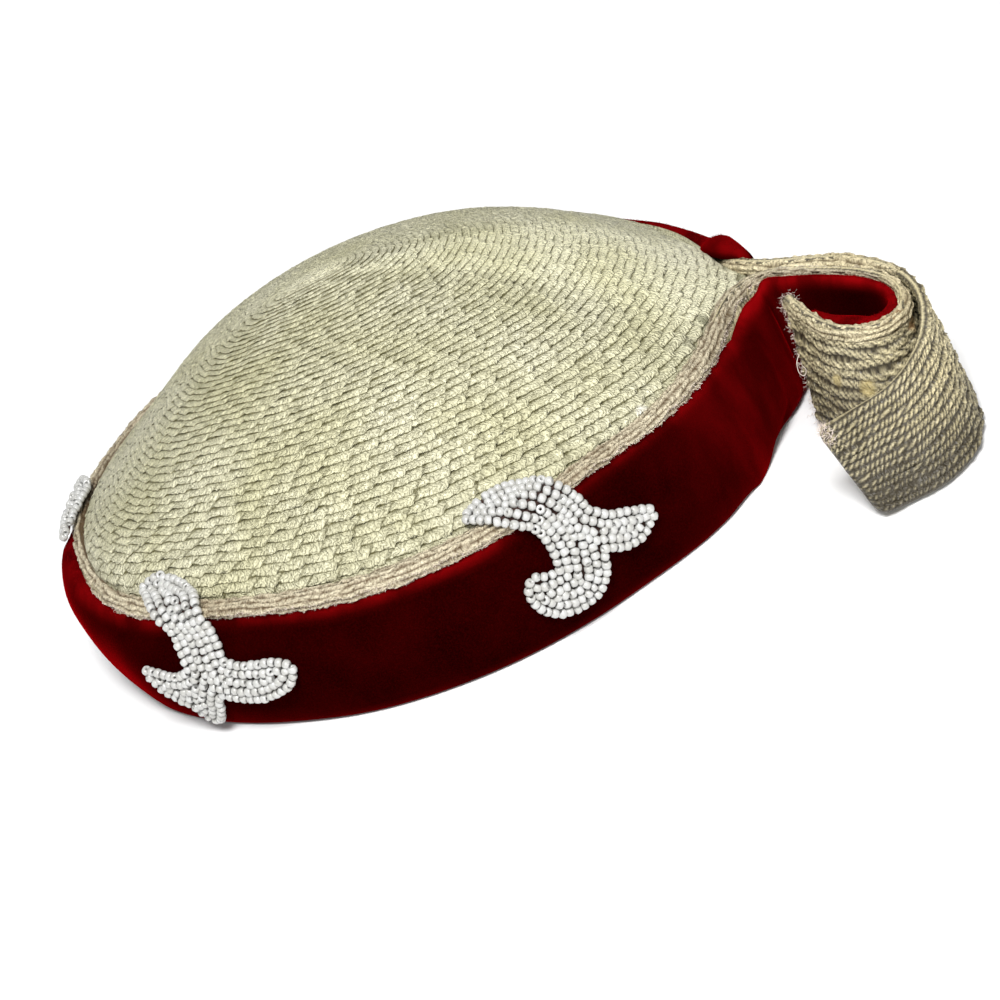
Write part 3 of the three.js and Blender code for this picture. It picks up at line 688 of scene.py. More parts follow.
def crown_braid():
    kept, turn, along, hidden, place = braid_stations()
    count = len(kept)
    rng = np.random.default_rng(3)
    reach = np.maximum(row_run(turn), 2)
    drift = wander(along, *PLAIT_DRIFT)
    uneven = wander(along, *ROW_DRIFT)
    at_front_left = np.maximum(np.cos(2 * np.pi * turn - math.radians(STEPS_DEEPEST)), 0) ** 2
    step_depth = 0.2 + 0.85 * at_front_left * ramp(reach, 45, 85) + wander(along, *STEP_DRIFT)
    step_depth = np.clip(step_depth, 0, 1) * (reach > 4)
    # Painted shade: in the grooves under each row's edge and at the steps between plaits, darker down behind
    # the lip and towards the back, paler near the braid's start.
    shade_by_lip = 0.6 * ramp(hidden, -BEHIND_LIP - 1, -BEHIND_LIP + 1)
    shade_at_back = 0.12 * ramp(place[:, 1], 0, 40)
    paler_start = 0.4 + 0.6 * ramp(reach, 2, 5)
    points, uv, painted_shading = [], [], []
    for share, height, weight, depth in BRAID_ROW:
        tile = np.mod((along + STEP_SLANT * share) / TILE + drift, 1)
        step_line = step_depth * (tile < STATION / TILE)
        edge = TILE_EDGE * (tile - 0.5) * ramp(reach, 2, 8)
        frayed = rng.normal(0, FRAYED, count) * (share > 0.5)
        run = row_run(turn + share + edge * ramp(share, 0.2, 0.9) + uneven + frayed)
        loops = rng.normal(0, 1, count)
        lift = height + weight * (LOOP_LIFT * loops + TILE_RISE * (tile - 0.5) - STEP_SINK * step_line)
        points.append(braid_point(360 * turn, run)[0] + lift[:, None] * braid_normal(360 * turn, run))
        uv.append(np.stack([along, np.full(count, share * CROWN_ROW)], -1))
        shade = depth * rng.uniform(0.45, 1, count) + weight * (0.6 * step_line - 0.13 * loops)
        painted_shading.append(np.clip(shade + shade_by_lip + shade_at_back, 0, 1) * paler_start)
    faces = grid_faces(count, len(BRAID_ROW)).reshape(count - 1, -1, 4)
    faces = faces[np.diff(kept) == 1].reshape(-1, 4)
    piece("crown_braid", np.stack(points, 1), faces, CROWN, np.stack(uv, 1), np.stack(painted_shading, 1), flip=True)


# Crown's inside: the back of the same rows, over a plain layer that closes the wall at the rim
INSIDE_ROWS = 36
INSIDE_WALL = 1.6
UNDER_BRAID = 0.45
INSIDE_RIB = [(0.0, 0.8), (0.2, 0.3), (0.38, 0.1)]  # across a row: height, painted shade
INSIDE_LEVELS = np.linspace(30.5, RIM_HEIGHT, 14)  # of the upright wall, down to the rim
INSIDE_INSET = 3.4  # from the velvet's outside to that wall
NECK_LOW, NECK_HIGH = 28.5, 32.0  # where it turns in to the dome's foot


def crown_point(angle, run, inward):
    """Point of the dome by the length down from its top, set inward by a thickness."""
    share = np.interp(run, DOME_RUNS, DOME_SHARES)
    foot = dome_foot(angle)
    return polar(angle, share * (foot - inward), dome_height(angle, share * foot, foot) - inward)


def inside_wall(angle, z):
    """Radius of the crown's upright wall."""
    straight = velvet_radius(angle, z) - INSIDE_INSET
    return straight + (dome_foot(angle) - straight) * ramp(z, NECK_LOW, NECK_HIGH)


def crown_inside():
    angles = np.arange(0, 360, 3.0)
    # Painted shade, stored with each ring: darker on the upright wall and in the grooves between the ribs.
    rings = [crown_point(angles, run, UNDER_BRAID) for run in np.linspace(0.4, DOME_RUN, 40)]
    painted_shading = [0.3] * len(rings)
    for z in INSIDE_LEVELS:
        rings.append(polar(angles, inside_wall(angles, z) - UNDER_BRAID, z))
        painted_shading.append(0.6)
    levels = np.arange(len(INSIDE_LEVELS))
    for k in np.arange(0, len(levels), 0.5):
        z = np.interp(k, levels, INSIDE_LEVELS[::-1])
        rings.append(polar(angles, inside_wall(angles, z) - INSIDE_WALL - 0.35 * (k % 1), z))
        painted_shading.append(0.15 if k % 1 else 0.8)
    for k in np.arange(3 * INSIDE_ROWS, 0, -1):
        rib, shade = INSIDE_RIB[k % 3]
        rings.append(crown_point(angles, DOME_RUN * k / (3 * INSIDE_ROWS), INSIDE_WALL + rib))
        painted_shading.append(shade)
    faces = grid_faces(len(rings), len(angles), closed=True)
    uv = np.stack(np.meshgrid(np.radians(angles) * 60, np.arange(len(rings)) * 0.9), -1)
    piece("crown_inside", rings, faces, CROWN, uv, np.repeat(painted_shading, len(angles)), flip=True)


# Rope-like rows of the strip's finer braid
LOOP = 1.45
ROPE_LIFT = 0.78
# Styles of rows: slants of the loops in even and odd rows, sharpness, flatness, depth of the painted shade in
# the grooves
TAIL_STYLE = ((-0.6, -0.6), 1.0, 0.25, 2.1)
LIP_STYLE = ((0.35, -0.35), 0.3, 0.15, 2.2)
TAIL_ACROSS = (-1.0, -0.55, -0.1, 0.4, 0.75)  # places of a row's columns across it
LIP_ACROSS = (-1.0, -0.5, 0.05, 0.6)
LOOP_DRIFT, LOOP_FULLNESS = (0.9, 4), (0.6, 1.6)  # random waves along a row: size, wavelength
TAIL_WAVE = 7  # wavelength of a tail's rows
TAIL_OVER, TAIL_UNDER = 0.2, 0.3  # how far a tail's edges are rounded at its top and below
TAIL_TANGLE, FOLD_TANGLE = 0.11, 0.22  # roughness of the rows, and more of it at the folded end
CORNER = 2.6  # radius of the wrap's corners at that end
KNOB = 2.4  # how far its fold stands out


def rope_rows(along, number, across, seed, loop, slants, sharp, flat, dark):
    """Relief of chain-like rows, round across with slanted loops along them, and the painted shade in their
    grooves and between the loops.
    """
    lift = np.empty((len(along), len(number)))
    painted_shading = np.empty(lift.shape)
    for column, (row, x) in enumerate(zip(number, across)):
        drift = wander(along, *LOOP_DRIFT, seed + row)
        phase = along / loop + slants[row % 2] * x + 0.37 * row + drift
        link = np.abs(np.sin(np.pi * phase)) ** sharp
        round_row = flat + (1 - flat) * np.sqrt(np.maximum(1 - x**2, 0))
        fullness = 1 + wander(along, *LOOP_FULLNESS, seed + row + 500)
        lift[:, column] = ROPE_LIFT * fullness * round_row * (0.35 + 0.65 * link)
        painted_shading[:, column] = np.minimum(dark * (1 - round_row * (0.5 + 0.5 * link)), 1)
    return lift, painted_shading


def rope_columns(rows, places):
    """Columns of a sheet of rows from the low edge up: row number, place across it, share of the height."""
    number = np.append(np.repeat(np.arange(rows), len(places)), rows - 1)
    across = np.append(np.tile(places, rows), 1.0)
    return number, across, (number + (across + 1) / 2) / rows


def strip_stations(first, last, spacing):
    """Fractional row numbers along the strip at even spacing, and the length along it."""
    fine = np.linspace(first, last, 40 * int(last - first) + 1)
    line = catmull(strip_rows(np.array([0.6])), fine)[:, 0]
    steps, along = even_steps(line, spacing)
    return np.interp(steps, np.arange(len(fine)), fine), along


def end_shape(along, fold):
    """Thickness along a tail, rounded off at both ends, and how far a folded end's corners are cut."""
    left = along[-1] - along
    raw_end = 0.9 * (fold == 0) * (1 - ramp(left, 1, 6))
    thick = 1 + fold * (1 - ramp(along, 3, 9)) + raw_end
    corner = CORNER * (1 - quarter_round(along, CORNER)) * (fold > 0)
    return thick * quarter_round(along, 0.6 + fold) * quarter_round(left, 0.8), corner


def cut_corners(middle, share, corner, height):
    """Draw in both edges of a sheet of rows where its corners are cut."""
    for k in np.flatnonzero(corner > 0.01):
        cut = corner[k] / height[k]
        at = cut + share * (1 - 2 * cut)
        middle[k] = np.stack([np.interp(at, share, middle[k, :, axis]) for axis in range(3)], -1)


def strip_tail(name, first, last, rows, loop, waviness, seed, relief, fold=0.0):
    """A tail of the strip, with its rows' relief outside and inside and a fold at its first end."""
    stations, along = strip_stations(first, last, loop / 5)
    number, across, share = rope_columns(rows, TAIL_ACROSS)

    def by_fold(near, far):
        """1 at a folded end, 0 away from it."""
        return (fold > 0) * (1 - ramp(along, near, far))[:, None]

    middle = catmull(strip_rows(share), stations)
    height = np.linalg.norm(middle[:, -1] - middle[:, 0], axis=1)
    thick, corner = end_shape(along, fold)
    cut_corners(middle, share, corner, height)
    normals = surface_normals(middle)
    rise = unit(np.gradient(middle, axis=1))
    wave = row_waves(along, waviness, TAIL_WAVE, seed + 40, rows)[:, number] * np.sin(np.pi * share) ** 0.3
    middle = middle + (wave * (height / rows)[:, None])[..., None] * rise

    lift, painted_shading = rope_rows(along, number, across, seed, loop, *TAIL_STYLE)
    # Painted shade: darker on the low rows and near the folded end.
    painted_shading = np.minimum(painted_shading + 0.45 * (1 - ramp(share, 0, 0.7)) + 0.3 * by_fold(8, 34), 1)
    knob = KNOB * by_fold(3, 9) * ramp(share, 0.5, 0.8)
    tangle = TAIL_TANGLE + FOLD_TANGLE * by_fold(2, 8) * ramp(share, 0.4, 0.9)
    jitter = tangle * np.random.default_rng(seed).normal(0, 1, lift.shape)
    thin = np.minimum(thick, 1)[:, None]
    side = (STRIP_HALF - 0.3) * thick[:, None]
    outside = middle + (side + (relief[0] * lift + jitter + knob) * thin)[..., None] * normals
    inside = middle - (side + (relief[1] * lift - jitter) * thin)[..., None] * normals
    up = unit(middle[:, -1] - middle[:, -2])
    over = middle[:, -1] + TAIL_OVER * up * thin
    under = middle[:, 0] - TAIL_UNDER * up * thin

    ring = np.concatenate([outside, over[:, None], inside[:, ::-1], under[:, None]], 1)
    # Painted shade along the top edge, and more along the low edge.
    edges = [np.full((len(along), 1), shade) for shade in (0.15, 0.6)]
    painted_shading = np.concatenate([painted_shading, edges[0], painted_shading[:, ::-1], edges[1]], 1)
    level = np.concatenate([share, [1.02], 2.04 - share[::-1], [2.06]]) * rows * STRIP_ROW
    uv = np.stack(np.meshgrid(along, level, indexing="ij"), -1)
    piece(name, ring, grid_faces(len(along), ring.shape[1], closed=True), STRIP, uv, painted_shading)
    return ring


# Lip: the strip's top row, rolled out over the velvet's edge. Outline: to the side, under the top
LIP_OUTLINE = np.array([
    (0.9, -3.9), (2.3, -3.5), (2.95, -2.6), (2.7, -1.4), (1.6, -0.45), (0.2, -0.1), (-1.0, -0.35),
    (-1.75, -1.2), (-1.8, -2.4), (-1.0, -4.0),
])
LIP_FLAT = 0.85  # half thickness where it isn't rolled
LIP_ROWS = 9
LIP_LOOP = 2.5
LIP_SWAY, LIP_BREAKS = (0.4, 3), (0.6, 1.6)  # random waves along a row: size, wavelength
LIP_WAVE = (0.25, 14, 5)  # of the whole lip: size, wavelength, seed
LIP_SET_IN = 1.9  # at the left, where the velvet bulges past the lip
LIP_SET_IN_ROW, LIP_SET_IN_WIDE = FIRST_HEAD + 195 / SECTOR, 2.6
CREASE_ANGLE, CREASE_WIDE = 180, 22  # painted shade in the crease between lip and crown
# Rows of the strip where its lip changes
WRAP_LIP_FIRST = 6.5
BACK_FIRST, BACK_LAST = LAST_HEAD - 1.5, LAST_HEAD + 6.5
PARTING = LAST_HEAD + 1.2  # where the strip's two ends part
ROLL_RIM = LAST_HEAD + 7


def lip_sides(stations):
    """How far the lip is rolled out over the velvet, and back towards the scroll's other turn."""
    shown = lip_share(stations)
    back = ramp(stations, BACK_FIRST, BACK_FIRST + 1)
    back = back * (1 - ramp(stations, BACK_LAST - 2, BACK_LAST)) * (1 + 0.8 * hump(stations, PARTING, 0.8))
    wrap_top = ramp(stations, WRAP_LIP_FIRST, WRAP_LIP_FIRST + 1.5)
    wrap_top = wrap_top * (1 - ramp(stations, FIRST_HEAD - 1, FIRST_HEAD))
    rim = 0.8 * ramp(stations, ROLL_RIM, ROLL_RIM + 1.5)
    rolled_out = np.maximum(shown, 0.75 * wrap_top)
    return rolled_out[:, None], np.maximum.reduce([shown, 1.35 * (back + wrap_top), rim])[:, None]


def lip_outline(share):
    """Lip's outline at shares of its length, and the directions along it and out of it."""
    fine = np.linspace(0, len(LIP_OUTLINE) - 1, 200)
    run = lengths(catmull(LIP_OUTLINE, fine))
    outline = catmull(LIP_OUTLINE, np.interp(share, run / run[-1], fine))
    onward = unit(np.gradient(outline, axis=0))
    return outline.T, onward.T, (onward[:, 1], -onward[:, 0])


def lip(name, first, last, seed, dress, sink=(0.0, 0.0)):
    """Rolled edge between two rows of the strip, which can sink away at its first and its last end."""
    stations, along = strip_stations(first, last, LIP_LOOP / 9)
    number, across, share = rope_columns(LIP_ROWS, LIP_ACROSS)
    (aside, under), onward, facing = lip_outline(share)
    outer = aside > 0
    angles = (stations[:, None] - FIRST_HEAD) * SECTOR

    lift, painted_shading = rope_rows(along, number, across, seed, LIP_LOOP, *LIP_STYLE)
    loops = np.random.default_rng(seed).normal(0, 1, lift.shape)
    lift = 0.7 * lift - 0.15 + 0.06 * loops
    sway = row_waves(along, *LIP_SWAY, seed + 80, LIP_ROWS)[:, number]
    broken = np.clip(1 + row_waves(along, *LIP_BREAKS, seed + 60, LIP_ROWS), 0.1, 1)[:, number]
    # Painted shade in the rows' grooves, broken in places, and in the crease at the left.
    painted_shading = np.clip(broken * painted_shading**1.2 - 0.1 * loops, 0, 1)
    painted_shading = np.minimum(painted_shading + hump(angles, CREASE_ANGLE, CREASE_WIDE) * (aside < 0.3), 1)

    rolled = np.where(outer, *lip_sides(stations))
    side = aside * rolled + np.clip(aside, -LIP_FLAT, LIP_FLAT) * (1 - rolled)
    side = side + lift * facing[0] + sway * onward[0]
    side = side - LIP_SET_IN * hump(stations[:, None], LIP_SET_IN_ROW, LIP_SET_IN_WIDE)
    rise = (under + wander(along, *LIP_WAVE)[:, None]) * (1 - edge_rise(angles) / 4 * outer)
    rise = rise + lift * facing[1] + sway * onward[1]
    rise = rise - sink[0] * (1 - ramp(along, 0, 16))[:, None]
    rise = rise - sink[1] * (1 - ramp(along[-1] - along, 0, 10))[:, None]
    top = catmull(strip_rows(np.array([1.0])), stations)
    out = unit(catmull(STRIP_OUT, stations))[:, None]
    points = top + side[..., None] * out + rise[..., None] * np.array([0, 0, 1.0])
    uv = np.stack(np.meshgrid(along, share * LIP_ROWS * LIP_ROW, indexing="ij"), -1)
    piece(name, points, grid_faces(len(along), len(share)), dress, uv, painted_shading)
    return points


def strip_wall():
    """The strip between crown and velvet, under the lip."""
    stations = np.linspace(FIRST_HEAD - 0.5, PARTING, 180)
    middle = catmull(strip_rows(np.linspace(0, 0.97, 8)), stations)
    half = 0.7 * surface_normals(middle)
    ring = np.concatenate([middle + half, middle[:, ::-1] - half[:, ::-1]], 1)
    columns = ring.shape[1]
    uv = np.stack(np.meshgrid(stations * 11, np.arange(columns) * 4.0, indexing="ij"), -1)
    # Painted shade: the whole wall half dark, under the lip.
    painted_shading = np.full((len(stations), columns), 0.5)
    piece("strip_wall", ring, grid_faces(len(stations), columns, closed=True), STRIP, uv, painted_shading)


# Velvet: facing outside the cuff with a soft fold under the rim, and lining inside the inner roll
VELVET_COLUMNS = 56
VELVET_PER_ROW = 8
SECTION_RUN = 11.3  # mean length of velvet from section to section
TAIL_TRIM = 1.2  # how far the lining stays under the roll's top edge
PUFF_OUT, PUFF_UP = 2.4, 1.4  # how far it puffs out and up inside the roll's front
FOLDS_AT, FOLDS_WIDE = 499, 20  # length along the velvet where it lies in folds, by the roll
# Random waves along the velvet: size, wavelength, seed
VELVET_WAVES = [(0.28, 23, 11), (0.168, 9, 12)]
VELVET_FOLDS = (0.75, 3.4, 13)
FOLD_LEAN = (4, 3, 14)


def velvet_outline(k):
    """Section of the velvet at a row of the strip, as points round it."""
    on_head = FIRST_HEAD <= k <= LAST_HEAD
    reach, over = VELVET_IN - 0.3, 0.0
    if on_head:
        angle = HEAD_ANGLES[k - FIRST_HEAD]
        swell, rise = swollen(angle)
        low, fold, reach, over = 0.0, HEM_HEIGHT, -FOLD_REACH, TUCK_FOLD * tuck(angle)
        top = BAND_HEIGHT - VELVET_DIP * tuck(angle) + rise + edge_rise(angle)
    elif k < FIRST_HEAD:
        row = WRAP[k]
        low, fold, swell = GATHER_LOW, GATHER_LOW + HEM_HEIGHT, 1.0
        top = row[0][2] + GATHER_OVER
    else:
        row = ROLL[k - LAST_HEAD - 1]
        in_front = ramp(k, LAST_HEAD + 7, LAST_HEAD + 10) * (1 - ramp(k, LAST_ROW - 3, LAST_ROW - 0.5))
        under_lip = min(1.0, float(lip_share(np.array([k]))[0]) * 12)
        low, fold, swell = row[1][2] - 0.9, row[1][2] - 0.4, 0.6 + PUFF_OUT * in_front
        top = row[0][2] - TAIL_TRIM - (LIP_TOP - BAND_HEIGHT - TAIL_TRIM) * under_lip + PUFF_UP * in_front
    levels = low + (top - low) * np.array(SWELL_LEVELS[:3])
    outline = [(VELVET_IN, fold + 0.3)]
    outline += [(VELVET_IN, z) for z in levels]
    outline += [
        (VELVET_IN - over, top - 0.5 - 0.5 * over),
        ((VELVET_IN + VELVET_OUT - over) / 2 + SWELL_SHARES[4] * swell, top + 0.1),
        (VELVET_OUT + SWELL_SHARES[3] * swell, top - 1.0),
    ]
    outline += [(VELVET_OUT + swell * share, z) for z, share in zip(levels[::-1], SWELL_SHARES[2::-1])]
    outline += [
        (VELVET_OUT, low + 1.9), (VELVET_OUT - 0.35, low + 0.6), (VELVET_OUT - 1.3, low + 0.02),
        ((VELVET_OUT - 1.3 + reach) / 2, low), (reach + 0.2, low + 0.1), (reach, fold),
    ]
    side, z = np.array(outline).T
    if on_head:
        return head_points(angle, side, z)
    return tail_points(row, STRIP_OUT[k], side, (z - row[1][2]) / (row[0][2] - row[1][2]))


def even_ring(points, count):
    """A closed ring of points at even lengths along a smooth curve through the given ones."""
    fine = catmull(points, np.linspace(0, len(points), 400, endpoint=False), closed=True)
    run = lengths(np.vstack([fine, fine[:1]]))
    at = np.interp(np.arange(count) / count * run[-1], run, np.arange(len(run)))
    return catmull(fine, at, closed=True)


def velvet_rings():
    """Rings of points along the velvet, with slow waves and folds on its free side."""
    rows = np.array([even_ring(velvet_outline(k), VELVET_COLUMNS) for k in range(FIRST_HEAD - 1, LAST_ROW)])
    steps = np.linspace(GATHER_CUT, len(rows) - 1, VELVET_PER_ROW * (len(rows) - 1) + 1)
    rings = catmull(rows, steps)
    along = steps[:, None] * SECTION_RUN
    column = np.linspace(0, 1, VELVET_COLUMNS, endpoint=False)[None]
    free = np.clip(np.sin(np.pi * np.clip((column - 0.42) / 0.5, 0, 1)), 0, 1)
    slow = sum(wander(along, *wave) for wave in VELVET_WAVES)
    lean = along + 6 * column + wander(12 * column, *FOLD_LEAN)
    folds = wander(lean, *VELVET_FOLDS) * hump(along, FOLDS_AT, FOLDS_WIDE)
    rings = rings - (free * (slow + folds))[..., None] * surface_normals(rings)
    rings[..., 2] = np.maximum(rings[..., 2], 0)
    return rings


def velvet(rings):
    """The closed cloth, with its painted sheen at the top edge, the hem and by the scroll."""
    ends = [np.broadcast_to(ring.mean(0), (1,) + ring.shape) for ring in (rings[0], rings[-1])]
    rings = np.concatenate([ends[0], rings, ends[1]])
    z = rings[..., 2]
    level = (z - z.min(1, keepdims=True)) / np.maximum(np.ptp(z, axis=1), 1)[:, None]
    row = (np.arange(len(rings)) / VELVET_PER_ROW + FIRST_HEAD - 1)[:, None]
    # Painted sheen: bright red along the top edge (more of it towards the scroll), along the hem and beside
    # the scroll.
    sheen_at_top = (0.42 + 0.26 * ramp(row, LAST_HEAD, LAST_HEAD + 2)) * ramp(level, 0.87, 1)
    sheen_at_hem = 0.2 * (1 - ramp(level, 0, 0.1))
    sheen_by_scroll = ramp(row, LAST_HEAD - 3.5, LAST_HEAD + 0.8)
    sheen_by_scroll = 0.25 * sheen_by_scroll * (1 - ramp(row, LAST_HEAD + 3, LAST_HEAD + 6))
    faces = grid_faces(len(rings), VELVET_COLUMNS, closed=True)
    return piece("velvet_facing_cloth", rings, faces, VELVET, painted_shading=sheen_at_top + sheen_at_hem + sheen_by_scroll)


# Beaded motifs
BEAD_ROWS, BEAD_ALONG = 2.05, 1.72  # from row to row, and from bead to bead in a row
BEAD_RING, BEAD_TUBE, BEAD_LONG = 0.68, 0.44, 0.86
BEAD_LIFT = 1.05
BACKING_LIFT, BACKING_INSET = 0.35, 0.35


def drape(angle, climb):
    """Point of a motif's underside by its angle and its length up from the rim."""
    angle, climb = np.broadcast_arrays(np.asarray(angle, float), np.asarray(climb, float))
    shape = angle.shape
    angle, climb = angle.ravel(), climb.ravel()
    top, foot = head_section(angle)[2][:, None], dome_foot(angle)[:, None]
    inset, height = np.concatenate([OVER_LIP, OVER_LIP[-1] + np.outer(DOME_STEPS, (1, 0))]).T
    radius = top - inset
    radius[:, 0] = band_radius(angle, height[0]) - inset[0]
    radius[:, 1:3] += np.outer(swollen(angle)[0], SWELL_SHARES[3:])
    on_dome = dome_height(angle[:, None], np.minimum(radius, foot), foot) + OVER_DOME
    z = np.where(radius < foot, np.maximum(height, on_dome), height)
    run = height[0] + np.cumsum(np.hypot(np.diff(radius, axis=1), np.diff(z, axis=1)), axis=1)
    run = np.concatenate([np.full((len(angle), 1), height[0]), run], 1)
    row = np.clip((run <= climb[:, None]).sum(1) - 1, 0, len(height) - 2)
    pick = np.arange(len(angle))
    t = np.clip((climb - run[pick, row]) / (run[pick, row + 1] - run[pick, row]), 0, 1)
    over_radius = radius[pick, row] * (1 - t) + radius[pick, row + 1] * t
    over_height = z[pick, row] * (1 - t) + z[pick, row + 1] * t
    on_band = climb < height[0]
    radius = np.where(on_band, band_radius(angle, climb) - inset[0], over_radius)
    return polar(angle, radius, np.where(on_band, climb, over_height)).reshape(shape + (3,))


def drape_frame(centre, u, v):
    """Points of a motif and the directions along the band, up and out at each."""
    angle = centre + np.degrees(np.asarray(u) / BAND_RADIUS)
    step = 0.8
    along = unit(drape(angle + step, v) - drape(angle - step, v))
    up = unit(drape(angle, v + step) - drape(angle, v - step))
    out = unit(np.cross(along, up))
    return drape(angle, v), along, unit(np.cross(out, along)), out


def lobe_discs(lobes):
    """Discs that fill a motif's lobes: place along the band, height, radius."""
    discs = [catmull(rows, np.linspace(0, len(rows) - 1, 14 * len(rows))) for rows in lobes]
    return np.concatenate(discs)


def depth_inside(discs, u, v):
    """How far a place is inside a motif's outline."""
    away = np.hypot(u[..., None] - discs[:, 0], v[..., None] - discs[:, 1])
    return np.max(discs[:, 2] - away, axis=-1)


def motif_grid(discs, step, indexing):
    """Places along the band and heights of a grid over a motif."""
    low = (discs[:, :2] - discs[:, 2:]).min(0)
    high = (discs[:, :2] + discs[:, 2:]).max(0)
    return np.meshgrid(*(np.arange(a, b, step) for a, b in zip(low, high)), indexing=indexing)


def outline_heading(discs, u, v):
    """Direction along a motif's outline at a place inside it."""
    step = 0.3
    slope_u = depth_inside(discs, u + step, v) - depth_inside(discs, u - step, v)
    slope_v = depth_inside(discs, u, v + step) - depth_inside(discs, u, v - step)
    return np.arctan2(slope_u, -slope_v)


def bead_places(discs):
    """Rows of beads that follow the outline, from the edge inwards, then beads in the gaps left."""
    u, v = (a.ravel() for a in motif_grid(discs, 0.16, "xy"))
    depth = depth_inside(discs, u, v)
    taken = np.full(len(u), np.inf)
    places = []

    def put(k):
        places.append((u[k], v[k]))
        np.minimum(taken, np.hypot(u - u[k], v - v[k]), out=taken)

    for level in np.arange(0.5 * BEAD_ROWS, depth.max() + BEAD_ROWS, BEAD_ROWS):
        row = np.abs(depth - level) < 0.12
        if not row.any():
            continue
        last = np.flatnonzero(row)[np.argmax(v[row])]
        while True:
            free = np.flatnonzero(row & (taken >= BEAD_ALONG))
            if not len(free):
                break
            last = free[np.argmin(np.hypot(u[free] - u[last], v[free] - v[last]))]
            put(last)
    while True:
        room = np.where(depth > 0.45 * BEAD_ROWS, taken, 0)
        best = int(np.argmax(room))
        if room[best] < 0.9 * BEAD_ALONG:
            break
        put(best)
    return np.array(places).T


def bead_shape(around=12, section=8):
    """Points and faces of a seed bead about its hole, which runs along X."""
    turn = np.linspace(0, 2 * np.pi, around, endpoint=False)[:, None]
    loop = np.linspace(0, 2 * np.pi, section, endpoint=False)
    radius = BEAD_RING + BEAD_TUBE * np.cos(loop)
    across = np.broadcast_to(BEAD_LONG * np.sin(loop), (around, section))
    points = np.stack([across, radius * np.cos(turn), radius * np.sin(turn)], -1)
    index = np.arange(around * section).reshape(around, section)
    right, next_up = np.roll(index, -1, 0), np.roll(index, -1, 1)
    both = np.roll(right, -1, 1)
    return points.reshape(-1, 3), np.stack([index, right, both, next_up], -1).reshape(-1, 4)


def motif(name, centre, lobes, seed):
    """Beads of a motif, each turned along its row, a few of them tilted, and the cloth under them."""
    rng = np.random.default_rng(seed)
    discs = lobe_discs(lobes)
    u, v = bead_places(discs)
    count = len(u)
    at, along, up, out = drape_frame(centre, u, v)
    heading = outline_heading(discs, u, v) + rng.normal(0, 0.2, count)
    tilt = np.where(rng.random(count) < 0.12, rng.uniform(0.4, 1.0, count), rng.normal(0, 0.15, count))
    level = np.cos(heading)[:, None] * along + np.sin(heading)[:, None] * up
    hole = unit(np.cos(tilt)[:, None] * level + np.sin(tilt)[:, None] * out)
    other = unit(np.cross(out, hole))
    axes = np.stack([hole, other, np.cross(hole, other)], 1)
    size = rng.normal(1.0, 0.035, count)[:, None, None]
    lift = BEAD_LIFT + rng.normal(0, 0.07, count)
    shape, bead_faces = bead_shape()
    points = (at + lift[:, None] * out)[:, None] + size * (shape @ axes)
    faces = (np.arange(count)[:, None, None] * len(shape) + bead_faces).reshape(-1, 4)
    piece(name + "_beads", points, faces, (WHITE_BEADS, name, "white_beads"))

    u, v = motif_grid(discs, 0.7, "ij")
    inside = depth_inside(discs, u, v) > BACKING_INSET
    at, _, _, out = drape_frame(centre, u.ravel(), v.ravel())
    faces = grid_faces(*u.shape)
    faces = faces[inside.ravel()[faces].all(1)]
    piece(name + "_backing", at + BACKING_LIFT * out, faces, (BACKING, name, "white_beads"))


# One long thread that hangs from the roll's raw end in a hook, as steps from its root
THREAD_ROOT = np.array([88.9, -46.0, 18.5])
THREAD_STEPS = [
    (0, 0, 0), (-1.4, -0.8, -1.4), (-1.8, -1.4, -3.7), (-1.0, -2.0, -4.6),
    (-0.2, -2.2, -3.3), (-0.7, -2.0, -1.9),
]
THREAD_HALF = 0.09


def loose_thread():
    line = THREAD_ROOT + catmull(THREAD_STEPS, np.linspace(0, len(THREAD_STEPS) - 1, 41))
    heading = unit(np.gradient(line, axis=0))
    side = unit(np.cross(heading, (0.3, 1.0, 0.2)))
    other = np.cross(heading, side)
    turn = np.arange(8)[:, None] * math.pi / 4
    ring = np.cos(turn) * side[:, None] + np.sin(turn) * other[:, None]
    points = line[:, None] + THREAD_HALF * ring
    points[[0, -1]] = line[[0, -1], None]
    piece("loose_thread", points, grid_faces(len(line), len(turn), closed=True), FIBRE)


# Loose fibres: how many, length, width, how far they stray
TOP_AND_HEM_PILE = (9000, 0.5, 0.08, 0.45)  # as many again at the hem
LIP_FIBRES = (8000, 0.5, 0.12, 0.9)
RAW_END_FIBRES = (900, 1.25, 0.1, 1.0)
CORNER_FIBRES = (260, 1.6, 0.14, 0.9)
LIP_EDGE_COLUMNS = (3, 11)  # of the lip's points, from its low edge up
CORNER_STATIONS, CORNER_COLUMNS = slice(2, 9), slice(60, 82)  # of the wrap's points


def fibres(name, roots, directions, looks, dress, seed):
    """Thin tapering blades, joined in one mesh."""
    _, length, width, stray = looks
    rng = np.random.default_rng(seed)
    count = len(roots)
    reach = length * rng.uniform(0.5, 1.3, (count, 1))
    heading = unit(directions + rng.normal(0, stray, (count, 3)))
    aside = unit(np.cross(heading, rng.normal(0, 1, (count, 3)))) * width / 2
    middle = roots + 0.55 * reach * heading
    tip = roots + reach * unit(heading + 0.5 * rng.normal(0, stray, (count, 3)))
    points = np.stack([roots - aside, roots + aside, middle + 0.8 * aside, middle - 0.8 * aside, tip], 1)
    points[..., 2] = np.maximum(points[..., 2], 0)
    blade = np.array([(0, 1, 2), (0, 2, 3), (3, 2, 4)])
    faces = (points.shape[1] * np.arange(count)[:, None, None] + blade).reshape(-1, 3)
    return piece(name, points, faces, dress)


